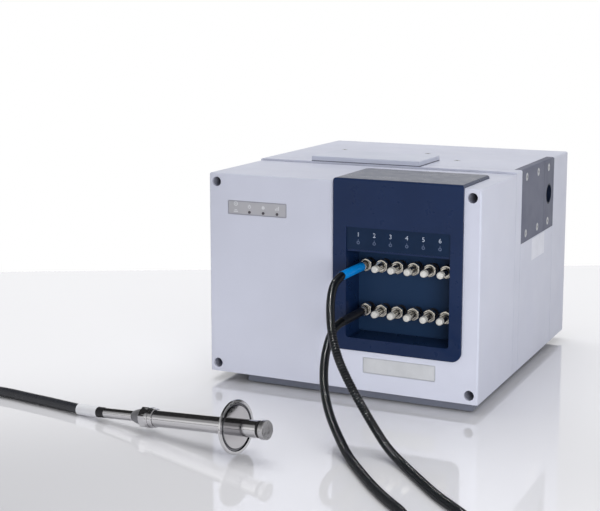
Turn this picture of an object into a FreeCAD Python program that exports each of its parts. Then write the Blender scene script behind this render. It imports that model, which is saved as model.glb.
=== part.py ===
import FreeCAD
import Part
import math
import os

# Near-infrared process spectrometer: a bench-top housing with a two-part cover, a blue port panel
# with two rows of six fibre ports, and a two-legged fibre cable that ends in an immersion probe.
# Millimetres. X runs to the right, Y to the back and Z up. The origin is on the table, under the
# middle of the housing.

V = FreeCAD.Vector
X = V(1, 0, 0)
Y = V(0, 1, 0)
Z = V(0, 0, 1)

# Housing
cover_width = 390.0
cover_depth = 438.0
hood_depth = 156.0
hood_height = 280.0
rear_rise = 3.0
cover_wall = 4.0
cover_edge_radius = 2.5
joint_gap = 0.8
fit_gap = 0.3
seat_gap = 0.05
hair = 0.01
groove_width = 1.0
groove_depth = 0.8

# Plinth and feet
floor_gap = 13.0
foot_height = 2.0
foot_radius = 12.0
foot_inset = 22.0
plinth_left_inset = 55.0
plinth_right_inset = 9.0
plinth_front_inset = 8.0
plinth_length = 349.0
floor_plate_thickness = 3.0

# Hood fixings: four deep screw holes in the front corners
corner_hole_radius = 6.65
corner_hole_inset_x = 11.6
corner_hole_inset_z = 11.8
corner_hole_depth = 50.0
corner_boss_radius = 10.5
corner_boss_length = 61.5
socket_head_radius = 3.5
socket_head_height = 4.0
socket_key_radius = 1.7
socket_key_depth = 2.2
corner_screw_radius = 1.9
corner_screw_reach = 3.0
bulkhead_thickness = 4.0

# Blue fascia over the front and top of the hood
fascia_right_inset = 22.5
fascia_pocket_right = 16.8
fascia_bottom = 54.0
fascia_proud = 3.0
fascia_top_thickness = 4.0
fascia_top_length = 114.0
fascia_lower_radius = 13.0
fascia_upper_radius = 8.0
fascia_edge_radius = 3.2

# Port pocket behind the fascia, and the numbered strip above it
pocket_inset = 19.0
pocket_bottom = 71.0
pocket_shelf = 187.6
pocket_top = 220.0
pocket_depth = 42.0
pocket_wall = 2.5
pocket_corner_radius = 4.0
strip_thickness = 1.2

# Ports
port_count = 6
port_pitch = 22.6
port_first = 16.6
port_last = 14.1
port_rows = {"upper": 165.2, "lower": 104.3}
port_plate_thickness = 3.0
port_plate_margin = 7.0
adapter_flange_radius = 7.5
adapter_flange_length = 2.0
adapter_neck_radius = 5.6
adapter_neck_length = 6.0
adapter_nut_flats = 16.6
adapter_nut_length = 10.0
adapter_nut_turn = 30.0
adapter_collar_radius = 6.8
adapter_collar_length = 3.5
adapter_barrel_radius = 4.3
adapter_barrel_length = 13.5
adapter_nose_radius = 2.9
adapter_nose_length = 4.0
adapter_tail_radius = 6.5
adapter_tail_length = 12.0
ferrule_bore_radius = 1.6
running_gap = 0.08
cap_radius = 4.8
cap_length = 8.6
cap_round = 2.0

# Light panel and name plate on the hood's front
light_panel_left = 29.0
light_panel_right = 118.0
light_panel_bottom = 224.4
light_panel_top = 243.3
light_panel_thickness = 0.8
light_positions = (62.0, 83.0, 104.0)
light_rise = 3.9
lens_radius = 1.9
lens_proud = 0.7
lens_length = 3.4
lens_round = 0.5
name_plate_inset = 43.0
name_plate_width = 101.0
name_plate_bottom = 24.3
name_plate_top = 45.3
name_plate_thickness = 0.8
plate_recess_depth = 1.2
plate_corner_radius = 1.5

# Grey service panels on the right side, wrapped over the top edge
side_panel_start = 28.0
side_panel_split = 146.0
side_panel_end = 201.0
side_panel_bottom = 179.0
side_panel_lap = 12.0
side_panel_thickness = 2.0
side_seam = 0.6
side_screw_y = (52.5, 113.0, 170.5)
side_screw_z = (191.0, 271.0)
side_head_radius = 5.6
side_opening_margin = 10.0
side_opening_bottom = 199.0
side_opening_top = 263.0
side_port_y = 173.4
side_port_z = 231.4
side_port_radius = 15.2
side_port_bore_radius = 13.2
side_port_depth = 16.0
side_port_floor = 3.0
side_label_start = 86.0
side_label_end = 155.0
side_label_bottom = 146.0
side_label_top = 177.0
side_label_thickness = 0.4

# Small screws
small_head_radius = 3.0
small_head_height = 1.4
small_shank_radius = 1.5
small_shank_length = 5.0
drive_share = 0.4
drive_floor = 0.6

# Raised lid on the top
lid_left = 82.0
lid_right = 249.0
lid_front = 1.6
lid_back = 87.0
lid_height = 7.7
lid_edge_radius = 1.5
lid_rim_inset = 8.0
lid_rim_depth = 10.0
lid_rim_wall = 2.5
top_screw_places = ((66.0, 160.0), (203.0, 164.0), (272.0, 98.0))
top_screw_radius = 4.5

# Back panel, set in from the cover's back edge
back_recess = 9.5
back_panel_thickness = 2.0
back_flange_width = 14.0
back_flange_thickness = 3.0
back_screw_inset = 7.0
inlet_x = -120.0
inlet_z = 62.0
inlet_flange_thickness = 2.5
inlet_flange_margin = 8.0
inlet_body = (30.0, 26.0, 23.0)
inlet_cavity = (24.4, 17.0, 16.8)
inlet_pin = (2.0, 14.0, 4.0)
inlet_pin_spread = 7.0
inlet_pin_offset = 2.0
switch_x = -82.0
switch_body = (21.0, 14.0, 28.0)
rocker_width = 15.0
rocker_half_height = 10.0
rocker_front = 5.5
rocker_dip = 1.5
rocker_back = 2.0
rocker_hub_radius = 5.0
rocker_pivot_depth = 4.5
rocker_pin_radius = 1.5
rocker_pin_reach = 1.0
rocker_tilt = 8.0
rocker_gap = 0.4
data_x = -30.0
data_flange = (20.0, 1.5, 18.0)
data_body = (16.0, 22.0, 14.0)
data_cavity = (11.8, 15.0, 8.2)

# Optical bench and what stands on it
bench_half_width = 165.0
bench_clear = 12.0
bench_back_room = 61.0
bench_bottom = 70.0
bench_thickness = 12.0
beam_rise = 42.0
mount_radius = 12.0
mount_inset = 22.0
lamp_x = -118.0
beam_deep = 55.0
lamp_size = (60.0, 64.0, 70.0)
lamp_bore_radius = 17.0
lamp_bore_depth = 46.0
lamp_beam_radius = 8.0
lamp_fin_slots = 6
lamp_fin_depth = 8.0
lamp_fin_gap = 4.0
bulb_radius = 6.5
bulb_length = 22.0
bulb_base_length = 14.0
mirror_places = ((10.0, 15.0, 45.0), (20.0, 240.0, -45.0), (130.0, 110.0, 45.0))
mirror_radius = 13.0
mirror_thickness = 7.0
mirror_post_radius = 5.0
splitter_x = 10.0
splitter_radius = 20.0
splitter_frame = 52.0
splitter_thickness = 10.0
splitter_turn = 45.0
glass_thickness = 2.0
pivot_x = 85.0
pivot_deep = 130.0
pivot_radius = 6.0
arm_hub_radius = 15.0
arm_hub_height = 16.0
arm_width = 12.0
arm_lap = 3.0
reflector_radius = 15.0
reflector_length = 20.0
reflector_bore_radius = 11.0
reflector_bore_depth = 9.0
laser_x = -100.0
laser_deep = 240.0
laser_radius = 11.0
laser_length = 96.0
laser_saddle_width = 14.0
laser_saddle_inset = 12.0
wheel_x = -64.0
wheel_radius = 30.0
wheel_thickness = 4.0
wheel_holes = 6
wheel_hole_radius = 6.0
wheel_hole_circle = 20.0
wheel_hub_radius = 7.0
shaft_radius = 3.0
shaft_length = 9.0
motor_size = 30.0
motor_length = 28.0
motor_clear = 2.0
selector_x = 130.0
selector_deep = 12.0
selector_arm_length = 30.0
selector_hub_radius = 9.0
selector_hub_length = 7.0
selector_head_radius = 8.0
detector_x = 130.0
detector_deep = 180.0
detector_size = (50.0, 56.0, 60.0)
detector_snout_radius = 12.0
detector_snout_length = 12.0
board_wall_gap = 5.0
board_carrier = 2.0
board_thickness = 1.6
board_half_length = 125.0
board_bottom = 95.0
board_top = 260.0
board_standoff = 6.0
board_standoff_radius = 3.0
board_chips = (
    (-80.0, 130.0, 44.0, 8.0),
    (-10.0, 150.0, 60.0, 4.0),
    (70.0, 120.0, 36.0, 10.0),
    (60.0, 215.0, 50.0, 6.0),
)
supply_size = (120.0, 150.0, 46.0)
supply_x = -60.0
supply_deep = 195.0

# Fibre cable: plugs, legs, junction and trunk
leg_radius = 5.0
trunk_radius = 6.5
plug_nut_radius = 6.2
plug_nut_length = 8.0
plug_nut_clear = 2.0
plug_body_radius = 4.2
plug_body_length = 10.0
ferrule_radius = 1.5
ferrule_reach = 8.0
sleeve_radius = 5.8
sleeve_end = 55.0
junction_length = 70.0
junction_leg_spacing = 15.0
junction_height = 14.0
junction_width = 28.0
junction_nose_width = 15.0
junction_shoulder = 0.35
junction_round = 3.0
straight_run = 32.0
junction_heading = 194.0
junction_start = V(171.8, -694.3, 7.0)
arc_share = 0.45

# Immersion probe, lying on the table in front of the housing
probe_flange_at = V(-17.15, -475.24, 32.6)
probe_heading = -9.8
probe_tilt = 6.0
flange_radius = 32.0
flange_front = 2.0
flange_rear = 5.0
flange_rim = 2.8
flange_groove_inner = 25.0
flange_groove_outer = 28.5
flange_groove_depth = 1.5
flange_bevel_radius = 22.0
probe_tube_radius = 10.3
probe_tube_front = 35.4
probe_core_radius = 8.6
seal_length = 5.0
seal_radius = 9.8
tip_radius = 11.5
tip_length = 6.1
tip_round = 1.0
tip_window_radius = 4.5
tip_window_thickness = 0.8
gland_flats = 24.4
gland_turn = 20.0
gland_rear = 144.0
gland_front = 124.6
gland_collar_radius = 12.2
gland_collar_length = 7.5
rear_tube_radius = 6.5
rear_tube_end = 209.6
cone_start = 169.0
cone_end = 156.5
cone_radius = 11.4
boot_radius = 6.6
boot_end = 224.5
boot_round = 1.5
marker_radius = 7.2
marker_lap = 2.0
marker_end = V(-268, -432.8, 7.4)

# Worked-out places
half_width = cover_width / 2
front_y = -(cover_depth + fascia_proud) / 2 + fascia_proud
back_y = front_y + cover_depth
joint_y = front_y + hood_depth
hood_top = floor_gap + hood_height
rear_top = hood_top + rear_rise
inner_half = half_width - cover_wall
floor_plate_top = floor_gap + floor_plate_thickness
pocket_back = front_y + pocket_depth
bulkhead_y = front_y + corner_boss_length
back_panel_y = back_y - back_recess
bench_top = bench_bottom + bench_thickness
bench_front = bulkhead_y + bulkhead_thickness + bench_clear
bench_back = back_panel_y - bench_back_room
beam_y = bench_front + beam_deep
pivot_y = bench_front + pivot_deep
laser_y = bench_front + laser_deep
selector_y = bench_front + selector_deep
detector_y = bench_front + detector_deep
supply_y = bench_front + supply_deep
fascia_x1 = half_width - fascia_right_inset
pocket_width = port_first + port_pitch * (port_count - 1) + port_last
pocket_x1 = fascia_x1 - fascia_pocket_right
pocket_x0 = pocket_x1 - pocket_width
fascia_x0 = pocket_x0 - pocket_inset


def at_x(across):
    """X of a place measured from the cover's left side."""
    return across - half_width


def at_y(deep):
    """Y of a place measured back from the hood's front face."""
    return front_y + deep


def past_joint(deep):
    """Y of a place on the rear cover, measured back from its joint with the hood."""
    return joint_y + deep


def at_z(high):
    """Z of a place measured up from the cover's bottom edge."""
    return floor_gap + high


def block(x0, x1, y0, y1, z0, z1):
    return Part.makeBox(x1 - x0, y1 - y0, z1 - z0, V(x0, y0, z0))


def centred_block(centre, size):
    corner = centre - V(size[0] / 2, size[1] / 2, size[2] / 2)
    return Part.makeBox(size[0], size[1], size[2], corner)


def rod(start, direction, radius, length):
    return Part.makeCylinder(radius, length, start, direction)


def ring(start, direction, outer, inner, length):
    return rod(start, direction, outer, length).cut(rod(start, direction, inner, length))


def rounded_outline(x0, x1, z0, z1, lower, upper, y):
    """A closed wire in a plane of constant Y, with its own corner radius below and above."""
    middle = math.sqrt(0.5)
    corners = (
        (x1, z0, -1, 1, lower),
        (x1, z1, -1, -1, upper),
        (x0, z1, 1, -1, upper),
        (x0, z0, 1, 1, lower),
    )
    arcs = []
    for number, (cx, cz, sx, sz, radius) in enumerate(corners):
        mid = V(cx + sx * radius * (1 - middle), y, cz + sz * radius * (1 - middle))
        on_z = V(cx + sx * radius, y, cz)
        on_x = V(cx, y, cz + sz * radius)
        first, last = (on_z, on_x) if number % 2 == 0 else (on_x, on_z)
        arcs.append((first, mid, last))
    edges = []
    for number, (first, mid, last) in enumerate(arcs):
        if first != last:
            edges.append(Part.Arc(first, mid, last).toShape())
        after = arcs[(number + 1) % len(arcs)][0]
        edges.append(Part.LineSegment(last, after).toShape())
    return Part.Wire(edges)


def rounded_plate(x0, x1, z0, z1, lower, upper, y0, y1):
    face = Part.Face(rounded_outline(x0, x1, z0, z1, lower, upper, y0))
    return face.extrude(V(0, y1 - y0, 0))


def hexagon(centre, direction, flats, length, corner_turn):
    """A six-sided bar along any direction, with one corner at an angle above the horizontal."""
    direction = V(direction).normalize()
    side = direction.cross(Z).normalize()
    up = side.cross(direction).normalize()
    reach = flats / math.sqrt(3)
    points = []
    for number in range(6):
        turn = math.radians(60 * number + corner_turn)
        points.append(centre + side * (reach * math.cos(turn)) + up * (reach * math.sin(turn)))
    wire = Part.makePolygon(points + [points[0]])
    return Part.Face(wire).extrude(direction * length)


def screw(seat, outward, head_radius):
    """A flat-headed screw whose head's underside lies on the seat, with a round drive recess."""
    head = rod(seat, outward, head_radius, small_head_height)
    shank = rod(seat - outward * small_shank_length, outward, small_shank_radius, small_shank_length)
    recess = rod(seat + outward * drive_floor, outward, head_radius * drive_share, small_head_height)
    return head.fuse(shank).cut(recess)


def screw_hole(seat, outward, head_radius):
    """The seat and clearance hole for a small screw."""
    sink = rod(seat, outward, head_radius + fit_gap, 2 * small_head_height)
    depth = small_shank_length + fit_gap
    through = rod(seat - outward * depth, outward, small_shank_radius + seat_gap, depth + small_head_height)
    return sink.fuse(through)


def joined(shapes):
    whole = shapes[0]
    for shape in shapes[1:]:
        whole = whole.fuse(shape)
    return whole.removeSplitter()


parts = {}


def keep(name, shape):
    parts[name] = shape


# Base

plinth_left = -half_width + plinth_left_inset
plinth_right = half_width - plinth_right_inset
plinth_front = front_y + plinth_front_inset
plinth_back = plinth_front + plinth_length


def make_feet():
    feet = []
    for x in (plinth_left + foot_inset, plinth_right - foot_inset):
        for y in (plinth_front + foot_inset, plinth_back - foot_inset):
            feet.append(rod(V(x, y, 0), Z, foot_radius, foot_height))
    keep("rubber_feet", Part.makeCompound(feet))


# Front hood

corner_places = [
    (side * (half_width - corner_hole_inset_x), z)
    for side in (-1, 1)
    for z in (at_z(corner_hole_inset_z), at_z(hood_height - corner_hole_inset_z))
]
pocket_z0 = at_z(pocket_bottom)
pocket_z1 = at_z(pocket_shelf)
strip_z1 = at_z(pocket_top)
light_z = at_z(light_panel_bottom + light_rise)
light_panel_box = (
    at_x(light_panel_left),
    at_x(light_panel_right),
    at_z(light_panel_bottom),
    at_z(light_panel_top),
)
name_plate_box = (
    fascia_x0 + name_plate_inset,
    fascia_x0 + name_plate_inset + name_plate_width,
    at_z(name_plate_bottom),
    at_z(name_plate_top),
)


def edges_at(shape, test):
    return [edge for edge in shape.Edges if test(edge.CenterOfMass)]


def make_hood():
    outer = block(-half_width, half_width, front_y, joint_y, floor_gap, hood_top)
    rounded = edges_at(
        outer,
        lambda p: (abs(p.y - front_y) < hair and p.z > floor_gap + hair)
        or (abs(p.z - hood_top) < hair and abs(abs(p.x) - half_width) < hair),
    )
    outer = outer.makeFillet(cover_edge_radius, rounded)
    inside_top = hood_top - cover_wall
    inside = block(-inner_half, inner_half, front_y + cover_wall, joint_y + 1, floor_gap - 1, inside_top)
    hood = outer.cut(inside)
    sockets = []
    for x, z in corner_places:
        start = V(x, front_y, z)
        socket = rod(start, Y, corner_boss_radius, corner_boss_length)
        socket = socket.cut(rod(start, Y, corner_hole_radius, corner_hole_depth))
        socket = socket.cut(rod(start, Y, corner_screw_radius + seat_gap, corner_boss_length + 1))
        sockets.append(socket.common(inside))
        hood = hood.cut(rod(start - Y, Y, corner_hole_radius, cover_wall + 1))
    keep("hood_corner_sockets", Part.makeCompound(sockets))
    window = pocket_wall + fit_gap
    hood = hood.cut(
        block(
            pocket_x0 - window,
            pocket_x1 + window,
            front_y - 1,
            front_y + cover_wall + 1,
            pocket_z0 - window,
            pocket_z1 + window,
        )
    )
    for x0, x1, z0, z1 in (light_panel_box, name_plate_box):
        recess = rounded_plate(
            x0 - fit_gap,
            x1 + fit_gap,
            z0 - fit_gap,
            z1 + fit_gap,
            plate_corner_radius,
            plate_corner_radius,
            front_y - 1,
            front_y + plate_recess_depth,
        )
        hood = hood.cut(recess)
    for across in light_positions:
        start = V(at_x(across), front_y - 1, light_z)
        hood = hood.cut(rod(start, Y, lens_radius + seat_gap, cover_wall + 2))
    keep("front_hood", hood.removeSplitter())

    screws = []
    for x, z in corner_places:
        seat = V(x, front_y + corner_hole_depth, z)
        reach = corner_boss_length - corner_hole_depth + bulkhead_thickness + corner_screw_reach
        head = rod(seat, -Y, socket_head_radius, socket_head_height)
        key = rod(seat - Y * (socket_head_height - socket_key_depth), -Y, socket_key_radius, socket_key_depth)
        screws.append(head.cut(key).fuse(rod(seat, Y, corner_screw_radius, reach)).removeSplitter())
    keep("hood_screws", Part.makeCompound(screws))


def make_front_plates():
    back = front_y + plate_recess_depth
    x0, x1, z0, z1 = light_panel_box
    front = back - light_panel_thickness
    panel = rounded_plate(x0, x1, z0, z1, plate_corner_radius, plate_corner_radius, front, back)
    lenses = []
    for across in light_positions:
        place = V(at_x(across), front_y - lens_proud, light_z)
        panel = panel.cut(rod(place - Y, Y, lens_radius + seat_gap, lens_length + 2))
        lens = rod(place, Y, lens_radius, lens_length)
        front_edge = edges_at(lens, lambda p: abs(p.y - place.y) < hair)
        lenses.append(lens.makeFillet(lens_round, front_edge))
    keep("led_panel", panel)
    keep("led_lenses", Part.makeCompound(lenses))
    x0, x1, z0, z1 = name_plate_box
    front = back - name_plate_thickness
    keep("name_plate", rounded_plate(x0, x1, z0, z1, plate_corner_radius, plate_corner_radius, front, back))


# Fascia, pocket and ports

port_x = [pocket_x0 + port_first + port_pitch * number for number in range(port_count)]
nut_start_y = pocket_back - adapter_flange_length - adapter_neck_length
collar_start_y = nut_start_y - adapter_nut_length
adapter_front = collar_start_y - adapter_collar_length
barrel_end = adapter_front - adapter_barrel_length
nose_end = barrel_end - adapter_nose_length


def make_fascia():
    x0 = fascia_x0
    x1 = fascia_x1
    face_y = front_y - fascia_proud
    top = hood_top + fascia_top_thickness
    front = rounded_plate(x0, x1, at_z(fascia_bottom), top, fascia_lower_radius, 0, face_y, front_y)
    leaf = block(x0, x1, face_y, face_y + fascia_top_length, hood_top, top)
    back_corners = edges_at(
        leaf,
        lambda p: abs(p.y - face_y - fascia_top_length) < hair and abs(p.z - (hood_top + top) / 2) < hair,
    )
    leaf = leaf.makeFillet(fascia_upper_radius, back_corners)
    tube = block(
        pocket_x0 - pocket_wall,
        pocket_x1 + pocket_wall,
        front_y - hair,
        pocket_back,
        pocket_z0 - pocket_wall,
        pocket_z1 + pocket_wall,
    )
    fascia = joined([front, leaf, tube])
    upper_edges = edges_at(fascia, lambda p: abs(p.z - top) < hair)
    fascia = fascia.makeFillet(fascia_edge_radius, upper_edges)
    pocket = rounded_plate(
        pocket_x0,
        pocket_x1,
        pocket_z0,
        pocket_z1,
        pocket_corner_radius,
        0,
        face_y - 1,
        pocket_back + 1,
    )
    strip_window = block(pocket_x0, pocket_x1, face_y - 1, front_y, pocket_z1 - hair, strip_z1)
    keep("blue_fascia", fascia.cut(pocket).cut(strip_window).removeSplitter())
    keep(
        "label_strip",
        block(
            pocket_x0 + seat_gap,
            pocket_x1 - seat_gap,
            front_y - strip_thickness,
            front_y,
            pocket_z1 + pocket_wall + fit_gap,
            strip_z1 - seat_gap,
        ),
    )


def make_port_plate():
    plate = block(
        pocket_x0 - port_plate_margin,
        pocket_x1 + port_plate_margin,
        pocket_back,
        pocket_back + port_plate_thickness,
        pocket_z0 - port_plate_margin,
        pocket_z1 + port_plate_margin,
    )
    pillar = port_plate_margin / 2
    for x in (pocket_x0 - pillar, pocket_x1 + pillar):
        for z in (pocket_z0 - pillar, pocket_z1 + pillar):
            plate = plate.fuse(rod(V(x, pocket_back, z), Y, pillar, bulkhead_y - pocket_back))
    for row in port_rows.values():
        for x in port_x:
            start = V(x, pocket_back - 1, at_z(row))
            plate = plate.cut(rod(start, Y, adapter_tail_radius + seat_gap, port_plate_thickness + 2))
    keep("port_plate", plate.removeSplitter())


def adapter(x, z):
    """A fibre bulkhead adapter: flange, neck, hex nut, collar, barrel and nose, bored through."""
    start = V(x, pocket_back, z)
    flange = rod(start, -Y, adapter_flange_radius, adapter_flange_length)
    neck = rod(start, -Y, adapter_neck_radius, adapter_flange_length + adapter_neck_length)
    nut = hexagon(V(x, nut_start_y, z), -Y, adapter_nut_flats, adapter_nut_length, adapter_nut_turn)
    collar = rod(V(x, collar_start_y, z), -Y, adapter_collar_radius, adapter_collar_length)
    barrel = rod(V(x, adapter_front, z), -Y, adapter_barrel_radius, adapter_barrel_length)
    nose = rod(V(x, barrel_end, z), -Y, adapter_nose_radius, adapter_nose_length)
    tail = rod(start, Y, adapter_tail_radius, adapter_tail_length)
    bore_start = start + Y * (adapter_tail_length + 1)
    bore = rod(bore_start, -Y, ferrule_bore_radius, pocket_depth + adapter_tail_length + 1)
    return joined([flange, neck, nut, collar, barrel, nose, tail]).cut(bore)


def dust_cap(x, z):
    """A push-on cap over an adapter's nose."""
    back = barrel_end - fit_gap
    shell = rod(V(x, back, z), -Y, cap_radius, cap_length)
    front_edge = edges_at(shell, lambda p: abs(p.y - back + cap_length) < hair)
    shell = shell.makeFillet(cap_round, front_edge)
    return shell.cut(rod(V(x, back + 1, z), -Y, adapter_nose_radius + running_gap, adapter_nose_length + 1))


def make_ports():
    adapters = []
    for row, height in port_rows.items():
        z = at_z(height)
        for number, x in enumerate(port_x):
            adapters.append(adapter(x, z))
            if number > 0:
                keep(f"{row}_dust_cap_{number + 1}", dust_cap(x, z))
    keep("port_adapters", Part.makeCompound(adapters))


# Rear cover, its lid and its side panels

panel_y0 = past_joint(side_panel_start)
panel_split = past_joint(side_panel_split)
panel_y1 = past_joint(side_panel_end)
panel_z0 = at_z(side_panel_bottom)
side_port_centre = V(half_width, past_joint(side_port_y), at_z(side_port_z))
side_screw_seats = [
    V(half_width - small_head_height, past_joint(y), at_z(z)) for y in side_screw_y for z in side_screw_z
]
lid_x0 = at_x(lid_left)
lid_x1 = at_x(lid_right)
lid_y0 = past_joint(lid_front)
lid_y1 = past_joint(lid_back)
top_screw_seats = [V(at_x(x), past_joint(y), rear_top - small_head_height) for x, y in top_screw_places]
back_screw_z = (
    floor_plate_top + 4 * back_screw_inset,
    (floor_plate_top + rear_top) / 2,
    rear_top - cover_wall - back_screw_inset,
)
back_screw_seats = [
    V(side * (inner_half - back_screw_inset), back_panel_y, z) for side in (-1, 1) for z in back_screw_z
]


def side_skin(y0, y1, gap):
    """An L-shaped sheet down the right side and over its top edge, short of its seams by a gap."""
    inner = half_width - side_panel_thickness
    lap_x0 = half_width - side_panel_lap + gap
    side = block(inner, half_width, y0 + gap, y1 - gap, panel_z0 + gap, rear_top)
    lap = block(lap_x0, half_width, y0 + gap, y1 - gap, rear_top - side_panel_thickness, rear_top)
    return joined([side, lap])


def rounded_skin(y0, y1, gap):
    """The same sheet with its outer corner rounded as the cover's is."""
    skin = side_skin(y0, y1, gap)
    corner = edges_at(skin, lambda p: abs(p.z - rear_top) < hair and abs(p.x - half_width) < hair)
    return skin.makeFillet(cover_edge_radius, corner)


def rounded_cover(y0, y1, top):
    """A three-sided cover section with rounded top edges."""
    outer = block(-half_width, half_width, y0, y1, floor_gap, top)
    rounded = edges_at(outer, lambda p: abs(p.z - top) < hair and abs(abs(p.x) - half_width) < hair)
    return outer.makeFillet(cover_edge_radius, rounded)


def girth_groove(y):
    """A shallow groove round the left side, the top and the right side."""
    y1 = y + groove_width
    around = block(-half_width - 1, half_width + 1, y, y1, floor_gap - 1, rear_top + 1)
    deep = half_width - groove_depth
    return around.cut(block(-deep, deep, y - 1, y1 + 1, floor_gap - 2, rear_top - groove_depth))


def make_rear_cover():
    y0 = joint_y + joint_gap
    cover = rounded_cover(y0, back_y, rear_top)
    flange_back = back_panel_y - back_panel_thickness
    flange_front = flange_back - back_flange_thickness
    flange_top = rear_top - cover_wall
    cover = cover.cut(block(-inner_half, inner_half, y0 - 1, back_y + 1, floor_gap - 1, flange_top))
    flange = block(-inner_half, inner_half, flange_front, flange_back, floor_plate_top, flange_top)
    flange = flange.cut(
        block(
            -inner_half + back_flange_width,
            inner_half - back_flange_width,
            flange_front - 1,
            flange_back + 1,
            floor_plate_top - 1,
            flange_top - back_flange_width,
        )
    )
    cover = cover.fuse(flange)
    cover = cover.cut(girth_groove(panel_y0 - groove_width - side_seam))
    groove_floor = half_width - groove_depth
    groove_start = panel_y1 - groove_width
    groove_top = panel_z0 + hair
    cover = cover.cut(block(groove_floor, half_width + 1, groove_start, panel_y1, floor_gap - 1, groove_top))
    cover = cover.cut(side_skin(panel_y0, panel_y1, 0))
    cover = cover.cut(
        block(
            inner_half - 1,
            half_width,
            panel_y0 + side_opening_margin,
            panel_split - side_opening_margin,
            at_z(side_opening_bottom),
            at_z(side_opening_top),
        )
    )
    cover = cover.cut(rod(side_port_centre + X, -X, side_port_radius + seat_gap, cover_wall + 2))
    cover = cover.cut(
        block(
            half_width - side_label_thickness,
            half_width + 1,
            past_joint(side_label_start) - seat_gap,
            past_joint(side_label_end) + seat_gap,
            at_z(side_label_bottom) - seat_gap,
            at_z(side_label_top) + seat_gap,
        )
    )
    for seat in side_screw_seats:
        cover = cover.cut(screw_hole(seat, X, side_head_radius))
    for seat in top_screw_seats:
        cover = cover.cut(screw_hole(seat, Z, top_screw_radius))
    for seat in back_screw_seats:
        cover = cover.cut(screw_hole(seat, Y, small_head_radius))
    rim = lid_rim_inset - fit_gap
    cover = cover.cut(
        block(lid_x0 + rim, lid_x1 - rim, lid_y0 + rim, lid_y1 - rim, rear_top - cover_wall - 1, rear_top + 1)
    )
    keep("rear_cover", cover.removeSplitter())


def make_gasket():
    outside = half_width - groove_depth
    top = hood_top - groove_depth
    inside_top = hood_top - cover_wall
    seal_end = joint_y + joint_gap
    seal = block(-outside, outside, joint_y, seal_end, floor_plate_top, top)
    inside = block(-inner_half, inner_half, joint_y - 1, seal_end + 1, floor_plate_top - 1, inside_top)
    keep("front_gasket", seal.cut(inside))


def make_lid():
    lid = block(lid_x0, lid_x1, lid_y0, lid_y1, rear_top, rear_top + lid_height)
    rounded = edges_at(lid, lambda p: p.z > rear_top + hair)
    lid = lid.makeFillet(lid_edge_radius, rounded)
    rim = lid_rim_inset
    inner = lid_rim_inset + lid_rim_wall
    foot = rear_top - lid_rim_depth
    collar = block(lid_x0 + rim, lid_x1 - rim, lid_y0 + rim, lid_y1 - rim, foot, rear_top)
    hollow = block(lid_x0 + inner, lid_x1 - inner, lid_y0 + inner, lid_y1 - inner, foot - 1, rear_top)
    collar = collar.cut(hollow)
    keep("top_service_lid", joined([lid, collar]))


def make_side_panels():
    half_seam = side_seam / 2
    main = rounded_skin(panel_y0, panel_split, half_seam)
    port = rounded_skin(panel_split, panel_y1, half_seam)
    port = port.cut(rod(side_port_centre + X, -X, side_port_radius + seat_gap, side_panel_thickness + 2))
    for seat in side_screw_seats:
        hole = screw_hole(seat, X, side_head_radius)
        main = main.cut(hole)
        port = port.cut(hole)
    keep("side_panel_main", main)
    keep("side_panel_port", port)
    cup = rod(side_port_centre, -X, side_port_radius, side_port_depth)
    bore = rod(side_port_centre + X, -X, side_port_bore_radius, side_port_depth - side_port_floor + 1)
    keep("side_port_insert", cup.cut(bore))
    keep(
        "side_label",
        block(
            half_width - side_label_thickness,
            half_width,
            past_joint(side_label_start),
            past_joint(side_label_end),
            at_z(side_label_bottom),
            at_z(side_label_top),
        ),
    )


# Chassis and back panel


def make_chassis():
    plinth = block(plinth_left, plinth_right, plinth_front, plinth_back, foot_height, floor_gap)
    half = inner_half - fit_gap
    plate = block(-half, half, bulkhead_y, back_y - cover_wall, floor_gap, floor_plate_top)
    bulkhead_top = hood_top - cover_wall - fit_gap
    bulkhead_back = bulkhead_y + bulkhead_thickness
    bulkhead = block(-half, half, bulkhead_y, bulkhead_back, floor_gap, bulkhead_top)
    bulkhead = bulkhead.cut(
        block(
            pocket_x0 + pocket_corner_radius,
            pocket_x1 - pocket_corner_radius,
            bulkhead_y - 1,
            bulkhead_back + 1,
            pocket_z0 + pocket_corner_radius,
            pocket_z1 - pocket_corner_radius,
        )
    )
    carrier_x = -inner_half + board_wall_gap
    carrier = block(
        carrier_x, carrier_x + board_carrier, -board_half_length, board_half_length, floor_gap, board_top
    )
    chassis = joined([plinth, plate, bulkhead, carrier])
    for x, z in corner_places:
        start = V(x, bulkhead_y - 1, z)
        chassis = chassis.cut(rod(start, Y, corner_screw_radius + seat_gap, bulkhead_thickness + 2))
    keep("chassis", chassis)


def rocker_profile():
    """The rocker's side view about its pivot, as points of Y and Z."""
    return (
        (-rocker_back, -rocker_half_height),
        (rocker_front, -rocker_half_height),
        (rocker_front - rocker_dip, 0),
        (rocker_front, rocker_half_height),
        (-rocker_back, rocker_half_height),
    )


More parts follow.
